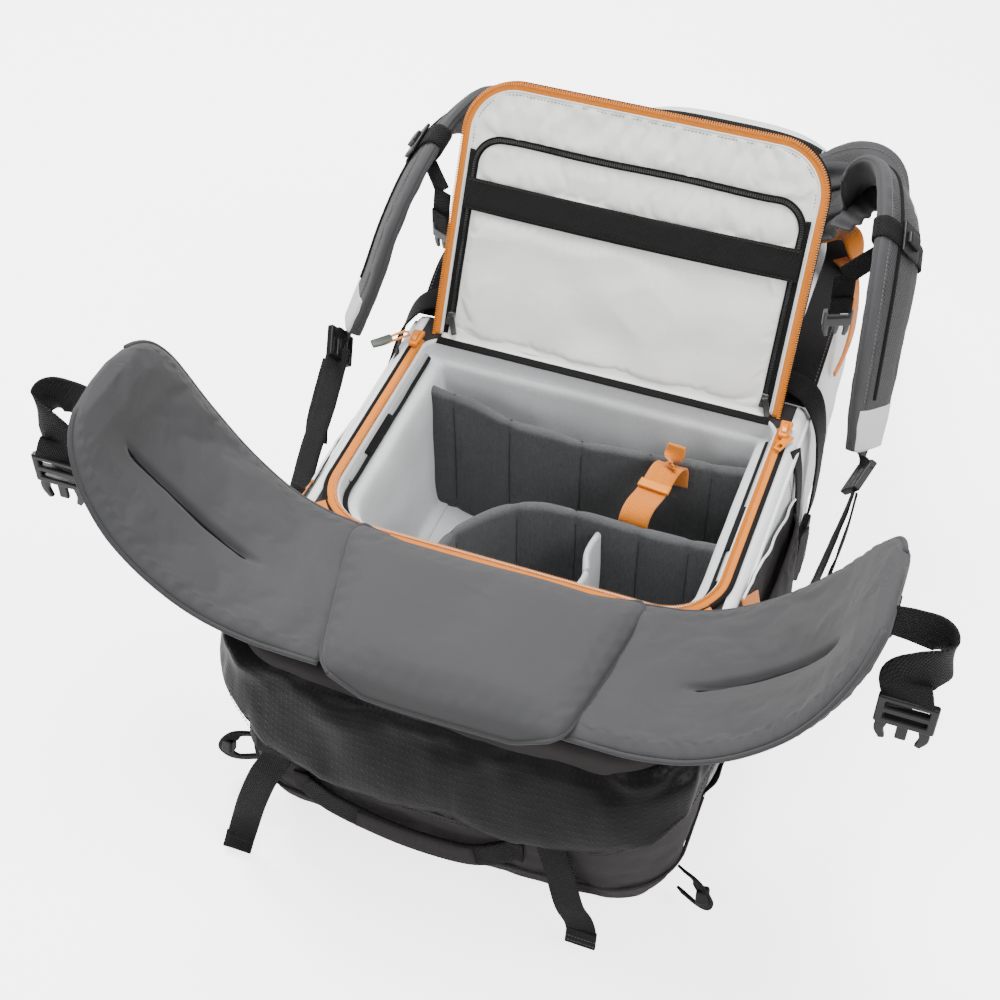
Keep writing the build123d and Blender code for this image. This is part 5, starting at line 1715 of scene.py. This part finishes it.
def load_loops():
    """Orange webbing at the shoulders of the pack, beside the strap roots."""
    for sign, side in SIDES:
        band = [(168, 300, 271, 0, 0, 1), (181, 285, 271, 0.3, 0, 0.9), (191, 266, 264, 0.8, 0, 0.5),
                (196.5, 246, 243, 1, 0, 0.3), (196, 226, 224, 1, 0, 0.1),
                (192, 208, 210, 1, 0, 0)]
        band = mirrored(band, sign, 14, 2.0)
        sweep(f"load_band_{side}", band, ORANGE_WEB, "pack", count=60, ripple=0.3)
        tab = [(150, 322, 275, 0, 0, 1), (166, 316, 290, -0.5, 0, 0.8), (176, 306, 292, 0.2, -0.3, 1),
               (184, 292, 278, 0.8, 0, 0.5)]
        tab = mirrored(tab, sign, 20, 2.2)
        sweep(f"load_tab_{side}", tab, ORANGE_WEB, "pack", count=36)


def side_bands():
    """Wide bands along the upper compartment's edges."""
    for sign, side in SIDES:
        rows = [(170, 122, 241.2), (171, 140, 250), (171.5, 178, 264.6), (170, 240, 267.5), (168, 308, 266.5),
                (158, 360, 261.5)]
        rows = mirrored(rows, sign, 0, -0.25, 1, 30, 1.8)
        sweep(f"edge_band_{side}", rows, WEBBING, "pack", count=90,
              replaces=("edge_bands",) if sign < 0 else (), ripple=0.4)
        edge = smooth([(r[0] + sign * 12.2, r[1], r[2] + 1.3) for r in rows], 60)
        stitches(f"edge_band_stitches_{side}", edge, [(0, -0.2, 1)] * 60, THREAD_GREY, "pack",
                 3.6)


# Build ----------------------------------------------------------------------------------------------

PARTS = (side_skins, floor_skin, upper_skin, lid_skin, lid_zip, base_skin, cover_skin, base_straps,
         carry_handle, gear_loops, body_zip, harness_plate, box_lining, frame_rails, dividers, flap_satin,
         flap_zips, flap_band, flap_shell, hinge_gusset, rim_sliders, lumbar, wings, yoke_pad,
         shoulder_straps, compression_gear, stretch_pockets, foot_sides, load_loops, side_bands, build_camera,
         build_lights, build_stage)
for build in PARTS:
    build()

# Sheets: the piece, its flat width, length and area in metres, how it is held and what it lies on.
SHEETS = [
    ("flap_satin", 0.325, 0.240, 0.072, "stretched", ("flap_backing",)),
    ("flap_backing", 0.312, 0.235, 0.068, "stretched", ("flap_outer",)),
    ("flap_outer", 0.330, 0.260, 0.082, "stretched", ("flap_backing",)),
    ("hinge_gusset", 0.308, 0.0195, 0.0059, "folded", ("hinge_binding",)),
    ("base_cover_skin", 0.560, 0.165, 0.087, "gathered", ("base_skin",)),
    ("base_skin", 0.600, 0.310, 0.168, "stretched", ("base_floor",)),
    ("floor_skin", 0.300, 0.270, 0.080, "laid", ("base_floor",)),
    ("upper_skin", 1.190, 0.400, 0.445, "stretched", ("side_skin_left", "side_skin_right")),
    ("lid_skin", 0.930, 0.100, 0.080, "stretched", ("upper_skin",)),
    ("box_lining_floor", 0.302, 0.220, 0.0664, "laid", ("floor_skin",)),
]
for side in ("left", "right"):
    SHEETS += [
        (f"side_skin_{side}", 0.280, 0.275, 0.0745, "stretched", ("harness_plate", "floor_skin")),
        (f"foot_side_{side}", 0.200, 0.250, 0.046, "stretched", (f"side_skin_{side}",)),
        (f"pocket_cloth_{side}", 0.190, 0.185, 0.033, "stretched", (f"foot_side_{side}",)),
    ]
